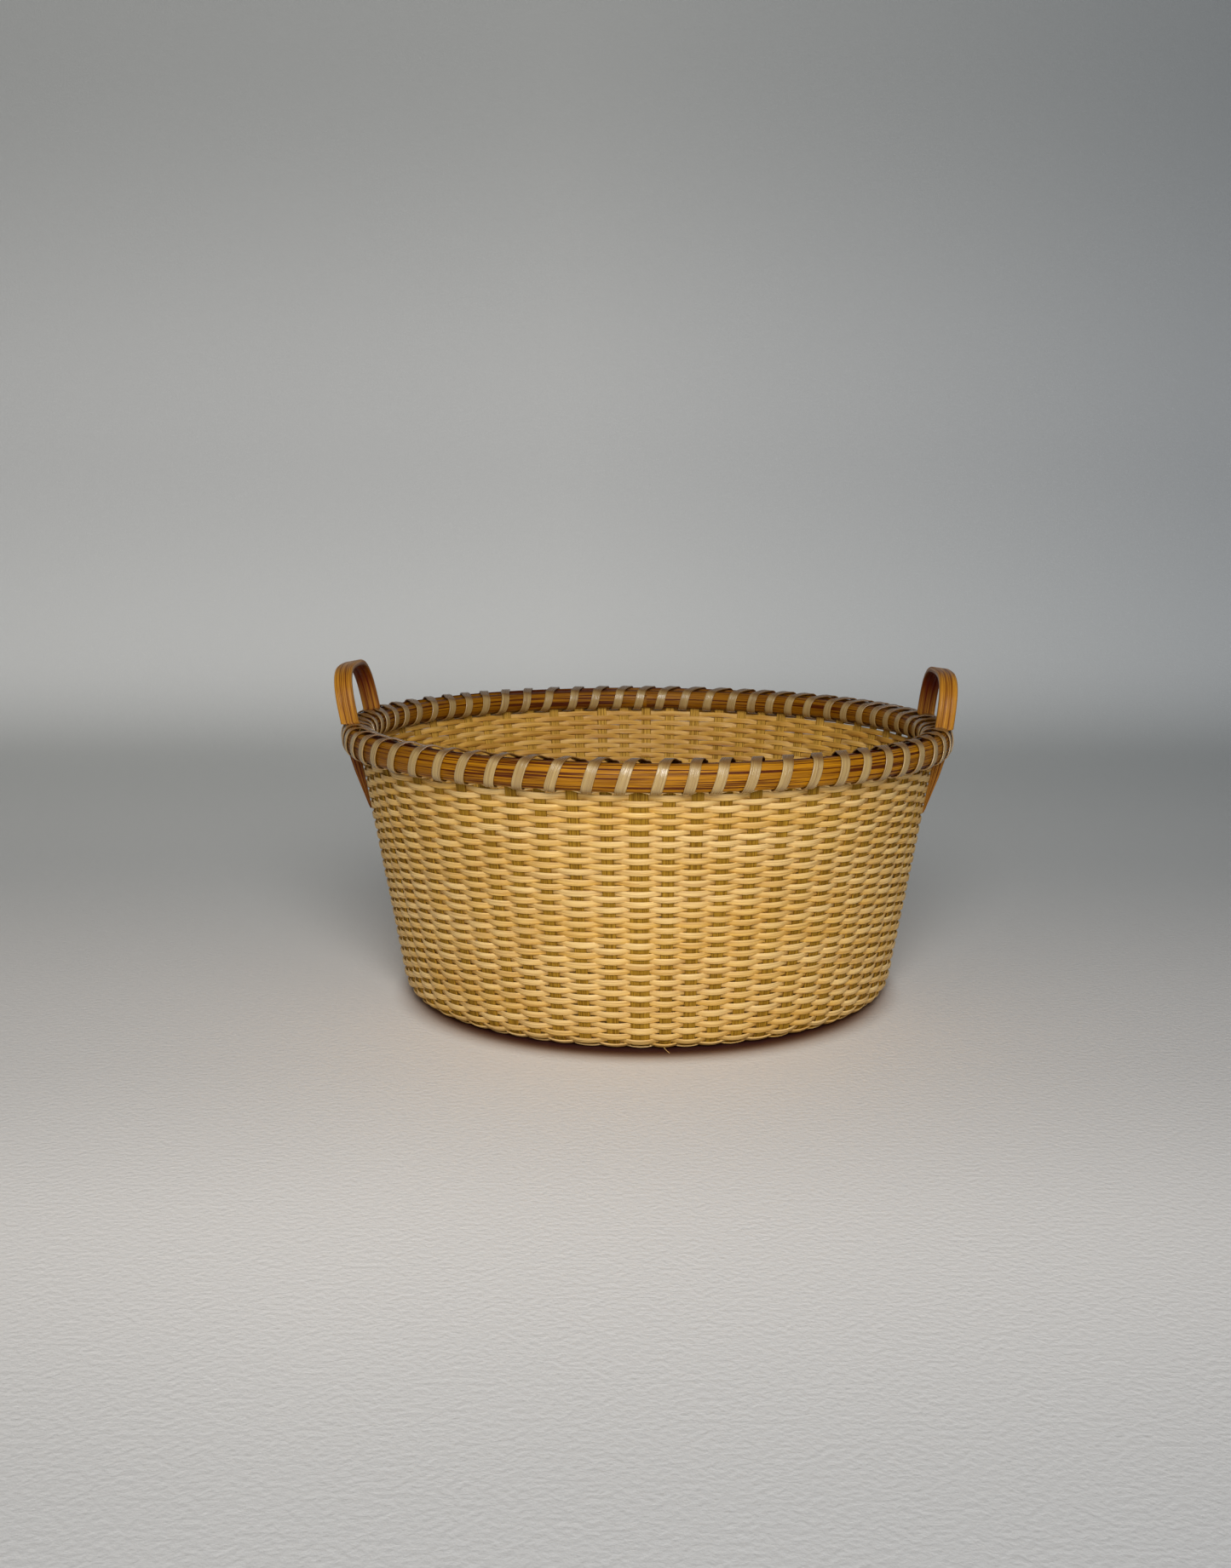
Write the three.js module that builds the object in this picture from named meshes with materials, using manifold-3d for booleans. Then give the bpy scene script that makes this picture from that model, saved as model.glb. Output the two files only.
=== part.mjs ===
// A round splint basket with two bent-wood ear handles.
//
// Millimetres, +Z up, origin at the middle of the floor that the basket stands on.
// Azimuths start at the front, on -Y, and grow towards +X.
//
// Sixteen splints cross at the hub of the base. Each end is slit into two uprights, and one extra
// half splint, left whole, makes their number odd, so that one strand can weave under and over all
// the way up. The uprights bend up at the corner and end between two hoops. A flat strip lashes the
// hoops together, one turn in each gap between uprights, and the handles are notched on the hoop.

import * as THREE from 'three';
import { mergeVertices } from 'three/addons/utils/BufferGeometryUtils.js';
import Module from 'manifold-3d';

const wasm = await Module();
wasm.setup();

// Overall sizes
const RIM_RADIUS = 151.8; // round the outside of the outer hoop
const RIM_HEIGHT = 135; // top of both hoops
const BASE_RADIUS = 115; // flat part of the base
const CORNER_RADIUS = 8.8; // outside of the turn from base to wall

// Weave and splints
const WEAVE_THICKNESS = 3.2; // over the floats of both faces
const SPLINT_THICKNESS = 0.9;
const UPRIGHT_WIDTH = 5.4;
const ODD_WIDTH = 8.4; // the one upright that is not slit
const SPOKES = 16;
const CLEARANCE = 0.3; // between pieces that touch on the real basket

// Base, from the hub outwards
const HUB_RADIUS = 21; // where the crossing splints part
const HUB_WIDTH = 3.4;
const HUB_SPLINT = 0.4; // the splints are pared thin where they cross
const HUB_UNDERSIDE = 1.2; // above the floor
const LAYER_STRIDE = 7; // layers from one splint to the next, so that neighbours don't pile up
const ROOT_RADIUS = 33; // where the splints reach the plane of the base
const ROOT_WIDTH = 4.8;
const ODD_ROOT_WIDTH = 1.8; // the half splint starts at a point
const ODD_FORK_WIDTH = 7.4; // and is this wide where the others are slit
const WEAVE_START = 34;
const FORK_RADIUS = 70; // the slit into two uprights starts here
const KICK_HEIGHT = 2.4; // rise of the base inside the fork
const CORNER_STEPS = 2;

// Hoops
const OUTER_THICKNESS = 4.2;
const OUTER_DEPTH = 12.4;
const INNER_THICKNESS = 4.7;
const INNER_DEPTH = 10.2;
const ROUNDNESS = 0.7; // exponent of the half oval section, below 1 is fuller
const OVAL_STEPS = 4;
const NECK_SPACE = 3.2; // room for the handles' necks between the last row and the outer hoop
const ROW_THICKNESS = 1;
const ROW_DEPTH = 7.6;
const TOP_MARGIN = 2; // uprights stop this far below the top of the hoops

// Lashing
const STRIP_WIDTH = 5.6; // measured along the hoop
const STRIP_THICKNESS = 0.7;
const STRIP_CLEARANCE = 0.45; // a little more than the others, for the facets of the hoops
const LEG_CLEARANCE = 0.4; // beside a handle's leg
const LASHINGS = 3; // lengths of strip, each tucked in under the hoops
const TURN_SPACING = 1.5; // at least, where a handle crowds the turns
const LEAST_GAP = 0.4; // of a strip to itself
const TUCK = 0.28; // share of the way under the hoops that each end reaches

// Handles
const STRAP_WIDTH = 8.1;
const STRAP_THICKNESS = 2.8;
const HANDLE_SPREAD = 60; // between the middles of the two legs
const HANDLE_RISE = 28.7; // above the hoops
const HANDLE_LEAN = 8; // degrees outwards
const HANDLE_OFFSET = -7; // middle of the strap from the outside of the hoop, where the legs leave it
const ARCH_POWER = 3.2; // 2 is an ellipse, more is squarer
const ARCH_STEPS = 18;
const TAIL_LENGTH = 27.5; // below the outer hoop
const TAIL_TOP = 5.7; // how far the tail stands off the wall under the hoop
const TAIL_MIDDLE = 4; // and part of the way up
const TAIL_TIP = 0.6;
const TAIL_BEND = 2 / 3; // that part, as a share of the length from the tip

// Layout of the uprights
const ENDS = 2 * SPOKES + 1;
const UPRIGHTS = 2 * ENDS - 1;
const STEP = (2 * Math.PI) / UPRIGHTS;
const FRONT = THREE.MathUtils.degToRad(-1.35); // azimuth of the one that is not slit
const HANDLE_UPRIGHTS = [-SPOKES, SPOKES]; // each handle is centred on an upright

// Radii where uprights, last row and hoops lie against each other, from the outside in
const outerInside = RIM_RADIUS - OUTER_THICKNESS;
const rowOutside = outerInside - NECK_SPACE;
const uprightRadius = rowOutside - ROW_THICKNESS - CLEARANCE - SPLINT_THICKNESS / 2;
const innerOutside = uprightRadius - SPLINT_THICKNESS / 2 - CLEARANCE;
const outerBottom = RIM_HEIGHT - OUTER_DEPTH;
const innerBottom = RIM_HEIGHT - INNER_DEPTH;
const wallTop = outerBottom - CLEARANCE;

const facetScale = 1 / Math.cos(Math.PI / UPRIGHTS);
const uprightAzimuth = (k) => FRONT + STEP * k;
const slitAzimuth = (end) => uprightAzimuth(2 * end - 0.5); // between the two uprights of an end
const isOdd = (k) => k % UPRIGHTS === 0;
const uprightWidth = (k) => (isOdd(k) ? ODD_WIDTH : UPRIGHT_WIDTH);

function at(azimuth, radius, height) {
  return new THREE.Vector3(radius * Math.sin(azimuth), -radius * Math.cos(azimuth), height);
}

function alongHoop(azimuth) {
  return new THREE.Vector3(Math.cos(azimuth), Math.sin(azimuth), 0);
}

// Middle line of the splints in the plane of radius and height, from the root to the top
function middleLine() {
  const base = WEAVE_THICKNESS / 2;
  const bend = CORNER_RADIUS - WEAVE_THICKNESS / 2;
  const centre = new THREE.Vector2(BASE_RADIUS, CORNER_RADIUS);
  const top = new THREE.Vector2(uprightRadius, wallTop);
  const reach = top.clone().sub(centre);
  const slope = Math.atan2(reach.x, reach.y) - Math.asin(bend / reach.length());
  const line = [
    new THREE.Vector2(ROOT_RADIUS, base + KICK_HEIGHT),
    new THREE.Vector2(FORK_RADIUS, base),
  ];
  for (let i = 0; i <= CORNER_STEPS; i++) {
    const turn = -Math.PI / 2 + ((Math.PI / 2 - slope) * i) / CORNER_STEPS;
    line.push(new THREE.Vector2(Math.cos(turn), Math.sin(turn)).multiplyScalar(bend).add(centre));
  }
  line.push(top);
  line.push(new THREE.Vector2(uprightRadius, RIM_HEIGHT - TOP_MARGIN));
  return line;
}

// The line moved sideways, to the left of its direction, with mitred corners
function offsetLine(line, distance, closed = false) {
  const last = line.length - 1;
  return line.map((point, i) => {
    const before = line[i > 0 ? i - 1 : closed ? last : 0];
    const after = line[i < last ? i + 1 : closed ? 0 : last];
    const a = point === before ? after.clone().sub(point) : point.clone().sub(before);
    const b = point === after ? a : after.clone().sub(point);
    const left = [a, b].map((side) => new THREE.Vector2(-side.y, side.x).normalize());
    const mitre = left[0].clone().add(left[1]);
    return point.clone().addScaledVector(mitre, distance / (1 + left[0].dot(left[1])));
  });
}

function heightAtRadius(line, radius) {
  const i = line.findIndex((point) => point.x > radius);
  const share = (radius - line[i - 1].x) / (line[i].x - line[i - 1].x);
  return THREE.MathUtils.lerp(line[i - 1].y, line[i].y, share);
}

const middle = middleLine();
const FORK = 1; // places in the middle line
const WALL_TOP = middle.length - 2;

// Triangles are gathered as loose corners and merged into one closed mesh
const SAME_POINT = 1e-4; // corners this near are one

function quad(soup, a, b, c, d) {
  soup.push(a, b, c, a, c, d);
}

function skin(soup, from, to) {
  from.forEach((corner, i) => {
    const next = (i + 1) % from.length;
    quad(soup, corner, to[i], to[next], from[next]);
  });
}

function cap(soup, section, end) {
  const corners = end ? [...section].reverse() : section;
  for (let i = 1; i < corners.length - 1; i++) {
    soup.push(corners[0], corners[i], corners[i + 1]);
  }
}

function closedGeometry(geometry) {
  geometry.deleteAttribute('normal');
  geometry.deleteAttribute('uv');
  const merged = mergeVertices(geometry, SAME_POINT);
  merged.computeVertexNormals();
  return merged;
}

function fromSoup(soup) {
  return closedGeometry(new THREE.BufferGeometry().setFromPoints(soup));
}

function toSolid(geometry) {
  const vertProperties = new Float32Array(geometry.attributes.position.array);
  const triVerts = new Uint32Array(geometry.index.array);
  return new wasm.Manifold(new wasm.Mesh({ numProp: 3, vertProperties, triVerts }));
}

function fromSolid(solid) {
  const mesh = solid.getMesh();
  const geometry = new THREE.BufferGeometry();
  geometry.setAttribute('position', new THREE.BufferAttribute(mesh.vertProperties, 3));
  geometry.setIndex(new THREE.BufferAttribute(mesh.triVerts, 1));
  geometry.computeVertexNormals();
  return geometry;
}

// A flat splint's cross-section at one place of the middle line. Its edges are given along the
// hoop from the azimuth, and the upper side is the one that faces into the basket.
function splintSection(azimuth, upper, lower, edges) {
  const side = alongHoop(azimuth);
  const up = edges.map((edge) => at(azimuth, upper.x, upper.y).addScaledVector(side, edge));
  const down = edges.map((edge) => at(azimuth, lower.x, lower.y).addScaledVector(side, edge));
  return [...up, ...down.reverse()];
}

// One upright, or prong, from the fork to the top
function addProng(soup, start, k, faces, growth) {
  const half = uprightWidth(k) / 2 + growth;
  let section = start;
  for (let i = FORK + 1; i < middle.length; i++) {
    const next = splintSection(uprightAzimuth(k), faces.upper[i], faces.lower[i], [-half, half]);
    skin(soup, section, next);
    section = next;
  }
  cap(soup, section, true);
}

function splintFaces(growth) {
  const half = SPLINT_THICKNESS / 2 + growth;
  return { upper: offsetLine(middle, half), lower: offsetLine(middle, -half) };
}

// Half the width of a splint end, a share of the way from the fork to the edge of the base
function endHalf(share) {
  return THREE.MathUtils.lerp(UPRIGHT_WIDTH, (BASE_RADIUS * STEP + UPRIGHT_WIDTH) / 2, share);
}

// Two uprights of one splint end, from the root to the top. The slit starts at the fork, or a share
// of the way to the edge of the base for the channel round it.
function addForkedEnd(soup, end, hubEdge, faces, growth, slitShare) {
  const prongs = [2 * end - 1, 2 * end];
  const section = (azimuth, upper, lower, half) =>
    splintSection(azimuth, upper, lower, [-half - growth, 0, half + growth]);
  const { upper, lower } = faces;
  const sections = [
    section(endAzimuth(end), upper[0], lower[0], ROOT_WIDTH / 2),
    section(slitAzimuth(end), upper[FORK], lower[FORK], endHalf(0)),
  ];
  if (slitShare > 0) {
    const [high, low] = [upper, lower].map((line) => line[FORK].clone().lerp(line[FORK + 1], slitShare));
    sections.push(section(slitAzimuth(end), high, low, endHalf(slitShare)));
  }
  if (hubEdge) {
    sections.unshift(hubEdge);
  } else {
    cap(soup, sections[0], false);
  }
  sections.slice(1).forEach((next, i) => skin(soup, sections[i], next));
  const slit = sections.at(-1);
  addProng(soup, [slit[0], slit[1], slit[4], slit[5]], prongs[0], faces, growth);
  addProng(soup, [slit[1], slit[2], slit[3], slit[4]], prongs[1], faces, growth);
}

// Splint j runs straight across the hub, between the ends j and j + SPOKES
const hubAzimuth = (j) => (slitAzimuth(j) + slitAzimuth(j + SPOKES) - Math.PI) / 2;
const hubLayer = (j) => (j * LAYER_STRIDE) % SPOKES;

function endAzimuth(end) {
  const hub = end > SPOKES ? hubAzimuth(end - SPOKES) + Math.PI : hubAzimuth(end);
  const share = (ROOT_RADIUS - HUB_RADIUS) / (FORK_RADIUS - HUB_RADIUS);
  return THREE.MathUtils.lerp(hub, slitAzimuth(end), share);
}

function spokeGeometry(j) {
  const soup = [];
  const faces = splintFaces(0);
  const bottom = HUB_UNDERSIDE + HUB_SPLINT * hubLayer(j);
  [j, j + SPOKES].forEach((end, turned) => {
    const azimuth = hubAzimuth(j) + Math.PI * turned;
    const hubSection = (radius) => {
      const upper = new THREE.Vector2(radius, bottom + HUB_SPLINT);
      const lower = new THREE.Vector2(radius, bottom);
      return splintSection(azimuth, upper, lower, [-HUB_WIDTH / 2, 0, HUB_WIDTH / 2]);
    };
    const edge = hubSection(HUB_RADIUS);
    skin(soup, hubSection(0), edge);
    addForkedEnd(soup, end, edge, faces, 0, 0);
  });
  return fromSoup(soup);
}

function addOddEnd(soup, faces, growth) {
  const rootHalf = ODD_ROOT_WIDTH / 2 + growth;
  const forkHalf = ODD_FORK_WIDTH / 2 + growth;
  const { upper, lower } = faces;
  const root = splintSection(FRONT, upper[0], lower[0], [-rootHalf, rootHalf]);
  const fork = splintSection(FRONT, upper[FORK], lower[FORK], [-forkHalf, forkHalf]);
  cap(soup, root, false);
  skin(soup, root, fork);
  addProng(soup, fork, 0, faces, growth);
}

function oddSpokeGeometry() {
  const soup = [];
  addOddEnd(soup, splintFaces(0), 0);
  return fromSoup(soup);
}

// A ring whose flat facets face the uprights, at the radii of its profile
function ringGeometry(profile) {
  const points = profile.map((point) => new THREE.Vector2(point.x * facetScale, point.y));
  points.push(points[0].clone());
  const lathe = new THREE.LatheGeometry(points, UPRIGHTS, uprightAzimuth(0.5), 2 * Math.PI);
  return closedGeometry(lathe.rotateX(Math.PI / 2));
}

// The woven shell is one body with a channel for each splint
function channels() {
  const faces = splintFaces(CLEARANCE);
  const slitAtEdge = BASE_RADIUS * STEP - UPRIGHT_WIDTH;
  const slitShare = (2 * CLEARANCE) / slitAtEdge;
  const cutters = [];
  for (let end = 1; end < ENDS; end++) {
    const soup = [];
    addForkedEnd(soup, end, null, faces, CLEARANCE, slitShare);
    cutters.push(toSolid(fromSoup(soup)));
  }
  const odd = [];
  addOddEnd(odd, faces, CLEARANCE);
  cutters.push(toSolid(fromSoup(odd)));
  return cutters;
}

function wovenGeometry(profile, cutters) {
  const shell = toSolid(ringGeometry(profile));
  return fromSolid(cutters.reduce((solid, cutter) => solid.subtract(cutter), shell));
}

const weaveUpper = offsetLine(middle, WEAVE_THICKNESS / 2);
const weaveLower = offsetLine(middle, -WEAVE_THICKNESS / 2);
const seam = BASE_RADIUS - WEAVE_THICKNESS / 2; // the finer base weaving meets the wall weaving here

function baseProfile() {
  const outside = seam - CLEARANCE / 2;
  const corner = (line, radius) => new THREE.Vector2(radius, heightAtRadius(line, radius));
  return [
    corner(weaveLower, WEAVE_START),
    weaveLower[FORK],
    corner(weaveLower, outside),
    corner(weaveUpper, outside),
    weaveUpper[FORK],
    corner(weaveUpper, WEAVE_START),
  ];
}

function wallProfile() {
  const inside = seam + CLEARANCE / 2;
  const lower = weaveLower.slice(FORK + 1, WALL_TOP + 1);
  const upper = weaveUpper.slice(FORK + 1, WALL_TOP + 1).reverse();
  if (upper.at(-1).x <= inside) {
    throw new Error('the seam of the two weavings lies in the corner');
  }
  const start = [heightAtRadius(weaveUpper, inside), heightAtRadius(weaveLower, inside)];
  return [...lower, ...upper, ...start.map((height) => new THREE.Vector2(inside, height))];
}

// Half oval section of a hoop, flat on the side where the uprights are
function hoopProfile(flat, thickness, bottom, depth) {
  const round = [];
  for (let i = 0; i <= OVAL_STEPS; i++) {
    const turn = (Math.PI * i) / OVAL_STEPS;
    const bulge = Math.max(0, Math.sin(turn)) ** ROUNDNESS;
    round.push(new THREE.Vector2(flat + thickness * bulge, bottom + (depth * (1 - Math.cos(turn))) / 2));
  }
  return thickness > 0 ? round : round.reverse();
}

const outerHoop = hoopProfile(outerInside, OUTER_THICKNESS, outerBottom, OUTER_DEPTH);
const innerHoop = hoopProfile(innerOutside, -INNER_THICKNESS, innerBottom, INNER_DEPTH);

function rowProfile() {
  const top = RIM_HEIGHT - TOP_MARGIN;
  const inside = rowOutside - ROW_THICKNESS;
  return [
    new THREE.Vector2(inside, top - ROW_DEPTH),
    new THREE.Vector2(rowOutside, top - ROW_DEPTH),
    new THREE.Vector2(rowOutside, top),
    new THREE.Vector2(inside, top),
  ];
}

// First and last azimuth of each handle leg, between two distances from the basket's axis
function legSpans(near, far) {
  return HANDLE_UPRIGHTS.flatMap((upright) =>
    [-1, 1].map((side) => {
      const corners = [-1, 1].flatMap((face) =>
        [near, far].map((x) => Math.atan2((side * HANDLE_SPREAD + face * STRAP_THICKNESS) / 2, x)),
      );
      return [Math.min(...corners), Math.max(...corners)].map((edge) => uprightAzimuth(upright) + edge);
    }),
  );
}

// Steps from an azimuth to the places just before and just beyond a leg, for the middle of the strip
function placesBeside(span, azimuth, room) {
  return [span[0] - room, span[1] + room].map((place) => {
    const steps = (place - azimuth) / STEP;
    return steps - Math.round(steps / UPRIGHTS) * UPRIGHTS;
  });
}

const strapMiddle = RIM_RADIUS + HANDLE_OFFSET;
const strapSpans = legSpans(strapMiddle - STRAP_WIDTH / 2, strapMiddle + STRAP_WIDTH / 2);
const tailSpans = legSpans(rowOutside, outerInside + 2 * (STRIP_CLEARANCE + STRIP_THICKNESS));

// Azimuth where a turn passes between upright k and the next: in the middle of their gap, or to one
// side of it where a handle's tail stands in the way
function gapAzimuth(k) {
  const edges = (uprightWidth(k) - uprightWidth(k + 1)) / 4 / uprightRadius;
  const azimuth = uprightAzimuth(k + 0.5) + edges;
  const room = (LEG_CLEARANCE + STRIP_WIDTH / 2) / outerInside;
  for (const span of tailSpans) {
    const [before, beyond] = placesBeside(span, azimuth, room);
    if (before < 0 && beyond > 0) {
      return azimuth + STEP * (-before < beyond ? before : beyond);
    }
  }
  return azimuth;
}

// Closed outline of the strip round both hoops: up the outside, over the top, down the inside
const hull = [...outerHoop, ...innerHoop];
const stripInner = offsetLine(hull, -STRIP_CLEARANCE, true);
const stripOuter = offsetLine(hull, -STRIP_CLEARANCE - STRIP_THICKNESS, true);

// Shares of the way over the hoops, from the lower bulge of the outer to the bottom of the inner one.
// The strip leans only on this way, and passes straight between the uprights under the hoops.
const travels = [0, 0];
for (let place = 2; place < hull.length; place++) {
  travels.push(travels[place - 1] + hull[place - 1].distanceTo(hull[place]));
}
const shares = travels.map((travel) => travel / travels.at(-1));

const topShare = shares[outerHoop.length - 2]; // where it comes up to the top of the hoops
const crestShare = shares[outerHoop.length]; // and where it leaves it
const turnRoom = (STRIP_WIDTH + TURN_SPACING) / (STEP * innerOutside);

// Share of the step that turn k has moved on where it leaves the top of the hoops. A turn that
// would meet a handle leg there stays before it if it can, and else passes beyond it.
function besideLeg(k) {
  const room = (LEG_CLEARANCE + STRIP_WIDTH / 2) / innerOutside;
  for (const span of strapSpans) {
    const [before, beyond] = placesBeside(span, gapAzimuth(k), room);
    if (before < crestShare && beyond > crestShare) {
      return before >= 0 ? before : beyond;
    }
  }
  return crestShare;
}

// The turns next to such a turn keep clear of it
function crestLead(k) {
  const own = besideLeg(k);
  const most = 1 + besideLeg(k + 1) - turnRoom;
  const least = besideLeg(k - 1) - 1 + turnRoom;
  return own === crestShare ? THREE.MathUtils.clamp(own, least, most) : own;
}

// The same share at one place of the outline, for the lead that the turn has at the top
function lead(place, top) {
  const share = shares[place];
  if (share > crestShare) {
    return top + ((share - crestShare) * (1 - top)) / (1 - crestShare);
  }
  const pace = top > crestShare ? top / topShare : 1;
  return Math.min(share * pace, top);
}

function stripSection(k, place, top) {
  const azimuth = THREE.MathUtils.lerp(gapAzimuth(k), gapAzimuth(k + 1), lead(place, top));
  const edges = [-STRIP_WIDTH / 2, STRIP_WIDTH / 2];
  return splintSection(azimuth, stripInner[place], stripOuter[place], edges);
}

// A strip's end, tucked in under the hoops between the last place of one turn and the next turn
function stripEnd(k, share) {
  const last = hull.length - 1;
  const inner = stripInner[last].clone().lerp(stripInner[0], share);
  const outer = stripOuter[last].clone().lerp(stripOuter[0], share);
  const edges = [-STRIP_WIDTH / 2, STRIP_WIDTH / 2];
  return splintSection(gapAzimuth(k), inner, outer, edges);
}

function lashingGeometry(first, turns) {
  const sections = [stripEnd(first, 1 - TUCK)];
  for (let k = first; k < first + turns; k++) {
    const top = crestLead(k);
    hull.forEach((_, place) => sections.push(stripSection(k, place, top)));
  }
  sections.push(stripEnd(first + turns, TUCK));
  const soup = [];
  cap(soup, sections[0], false);
  sections.slice(1).forEach((section, i) => skin(soup, sections[i], section));
  cap(soup, sections.at(-1), true);
  return { geometry: fromSoup(soup), gap: leastGap(sections) };
}

// Least distance between the edges of one turn and those of the next two turns
function leastGap(sections) {
  const turn = hull.length;
  let least = Infinity;
  sections.forEach((section, i) => {
    for (let j = i + Math.ceil(turn / 2); j < Math.min(sections.length, i + 2 * turn); j++) {
      for (const corner of section) {
        for (const other of sections[j]) {
          least = Math.min(least, corner.distanceTo(other));
        }
      }
    }
  });
  return least;
}

function prism(outline, from, to) {
  const depth = to - from;
  const geometry = new THREE.ExtrudeGeometry(new THREE.Shape(outline), { depth, bevelEnabled: false });
  return geometry.translate(0, 0, from);
}

// Bent strap seen along its width: an arch with two long legs, in the plane of spread and height
function archOutline() {
  const low = -TAIL_LENGTH - RIM_HEIGHT;
  const arc = (offset) => {
    const points = [];
    const across = HANDLE_SPREAD / 2 + offset;
    const up = HANDLE_RISE - STRAP_THICKNESS / 2 + offset;
    for (let i = 0; i <= ARCH_STEPS; i++) {
      const turn = (Math.PI * i) / ARCH_STEPS;
      const x = Math.sign(Math.cos(turn)) * Math.abs(Math.cos(turn)) ** (2 / ARCH_POWER);
      points.push(new THREE.Vector2(across * x, up * Math.sin(turn) ** (2 / ARCH_POWER)));
    }
    const ends = [new THREE.Vector2(across, low), new THREE.Vector2(-across, low)];
    return [ends[0], ...points, ends[1]];
  };
  return [...arc(STRAP_THICKNESS / 2), ...arc(-STRAP_THICKNESS / 2).reverse()];
}

// The handle seen from the side: tapered tail outside the wall, neck in the notch, leaning leg
function handleSide() {
  const near = HANDLE_SPREAD / 2 - STRAP_THICKNESS / 2;
  const far = HANDLE_SPREAD / 2 + STRAP_THICKNESS / 2;
  const outside = (radius) => Math.sqrt((radius * facetScale + CLEARANCE) ** 2 - near ** 2);
  const [low, high] = [weaveLower[WALL_TOP - 1], weaveLower[WALL_TOP]];
  const wall = (z) => outside(THREE.MathUtils.mapLinear(z, low.y, high.y, low.x, high.x));
  const shoulder = RIM_HEIGHT + CLEARANCE;
  const tailTop = outerBottom - CLEARANCE;
  const tip = tailTop - TAIL_LENGTH;
  const tailMiddle = tip + TAIL_LENGTH * TAIL_BEND;
  const neckInside = outside(rowOutside);
  const neckOutside = Math.sqrt((outerInside - CLEARANCE) ** 2 - far ** 2);
  const lean = Math.tan(THREE.MathUtils.degToRad(HANDLE_LEAN));
  const half = STRAP_WIDTH / 2 / Math.cos(THREE.MathUtils.degToRad(HANDLE_LEAN));
  const rise = HANDLE_RISE + STRAP_WIDTH; // clear of the arch
  return [
    [wall(tip), tip],
    [wall(tip) + TAIL_TIP, tip],
    [wall(tailMiddle) + TAIL_MIDDLE, tailMiddle],
    [wall(tailTop) + TAIL_TOP, tailTop],
    [neckOutside, tailTop],
    [neckOutside, shoulder],
    [strapMiddle + half, shoulder],
    [strapMiddle + half + lean * rise, shoulder + rise],
    [strapMiddle - half + lean * rise, shoulder + rise],
    [strapMiddle - half, shoulder],
    [neckInside, shoulder],
    [neckInside, tailTop],
  ].map(([x, z]) => new THREE.Vector2(x, z));
}

function handleGeometry() {
  const band = 3 * STRAP_WIDTH; // wide enough to cut the leaning strap and its tail from
  const arch = prism(archOutline(), -band, band);
  arch.rotateX(Math.PI / 2).rotateZ(Math.PI / 2);
  arch.rotateY(THREE.MathUtils.degToRad(HANDLE_LEAN));
  arch.translate(strapMiddle, 0, RIM_HEIGHT + CLEARANCE);
  const side = prism(handleSide(), -HANDLE_SPREAD, HANDLE_SPREAD).rotateX(Math.PI / 2);
  return fromSolid(toSolid(closedGeometry(arch)).intersect(toSolid(closedGeometry(side))));
}

const finish = (color, roughness) => new THREE.MeshStandardMaterial({ color, roughness, metalness: 0 });
const splintWood = finish(0xcfa767, 0.6);
const weaverWood = finish(0xd9b26f, 0.6);
const hoopWood = finish(0xb9782f, 0.5);
const handleWood = finish(0xb5762c, 0.45);
const stripCane = finish(0xc4ab79, 0.5);

const basket = new THREE.Group();

function add(name, geometry, material) {
  const mesh = new THREE.Mesh(geometry, material);
  mesh.name = name;
  basket.add(mesh);
  return mesh;
}

for (let j = 1; j <= SPOKES; j++) {
  add(`spoke_${String(j).padStart(2, '0')}`, spokeGeometry(j), splintWood);
}
add('odd_half_spoke', oddSpokeGeometry(), splintWood);

const cutters = channels();
add('base_weaving', wovenGeometry(baseProfile(), cutters), weaverWood);
add('wall_weaving', wovenGeometry(wallProfile(), cutters), weaverWood);
add('rim_row', ringGeometry(rowProfile()), weaverWood);
add('outer_rim', ringGeometry(outerHoop), hoopWood);
add('inner_rim', ringGeometry(innerHoop), hoopWood);

let first = 0;
for (let i = 0; i < LASHINGS; i++) {
  const turns = Math.floor((UPRIGHTS + LASHINGS - 1 - i) / LASHINGS);
  const { geometry, gap } = lashingGeometry(first, turns);
  console.log(`lashing_${i + 1}: ${turns} turns, least gap to itself ${gap.toFixed(2)} mm`);
  if (gap < LEAST_GAP) {
    throw new Error('the turns of the lashing are too close');
  }
  add(`lashing_${i + 1}`, geometry, stripCane);
  first += turns;
}

HANDLE_UPRIGHTS.forEach((upright, i) => {
  const handle = add(['handle_left', 'handle_right'][i], handleGeometry(), handleWood);
  handle.rotation.z = uprightAzimuth(upright) - Math.PI / 2;
});

export default basket;
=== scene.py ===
# Round basket woven from split wood, with a lashed rim and two bent ear handles.
#
# Metres, +Z up, the front on -Y. Azimuths start at the front and grow towards +X. The pieces are
# swept strips: splints slit into uprights, one weaver over and under them, two hoops, a lashing
# strip wound round the hoops, and two notched handles.

from math import asin, atan2, cos, pi, radians, sin, sqrt, tan

import bpy
import numpy as np
from bpy.props import FloatProperty, FloatVectorProperty, IntProperty, PointerProperty
from mathutils import Matrix, Vector


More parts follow.
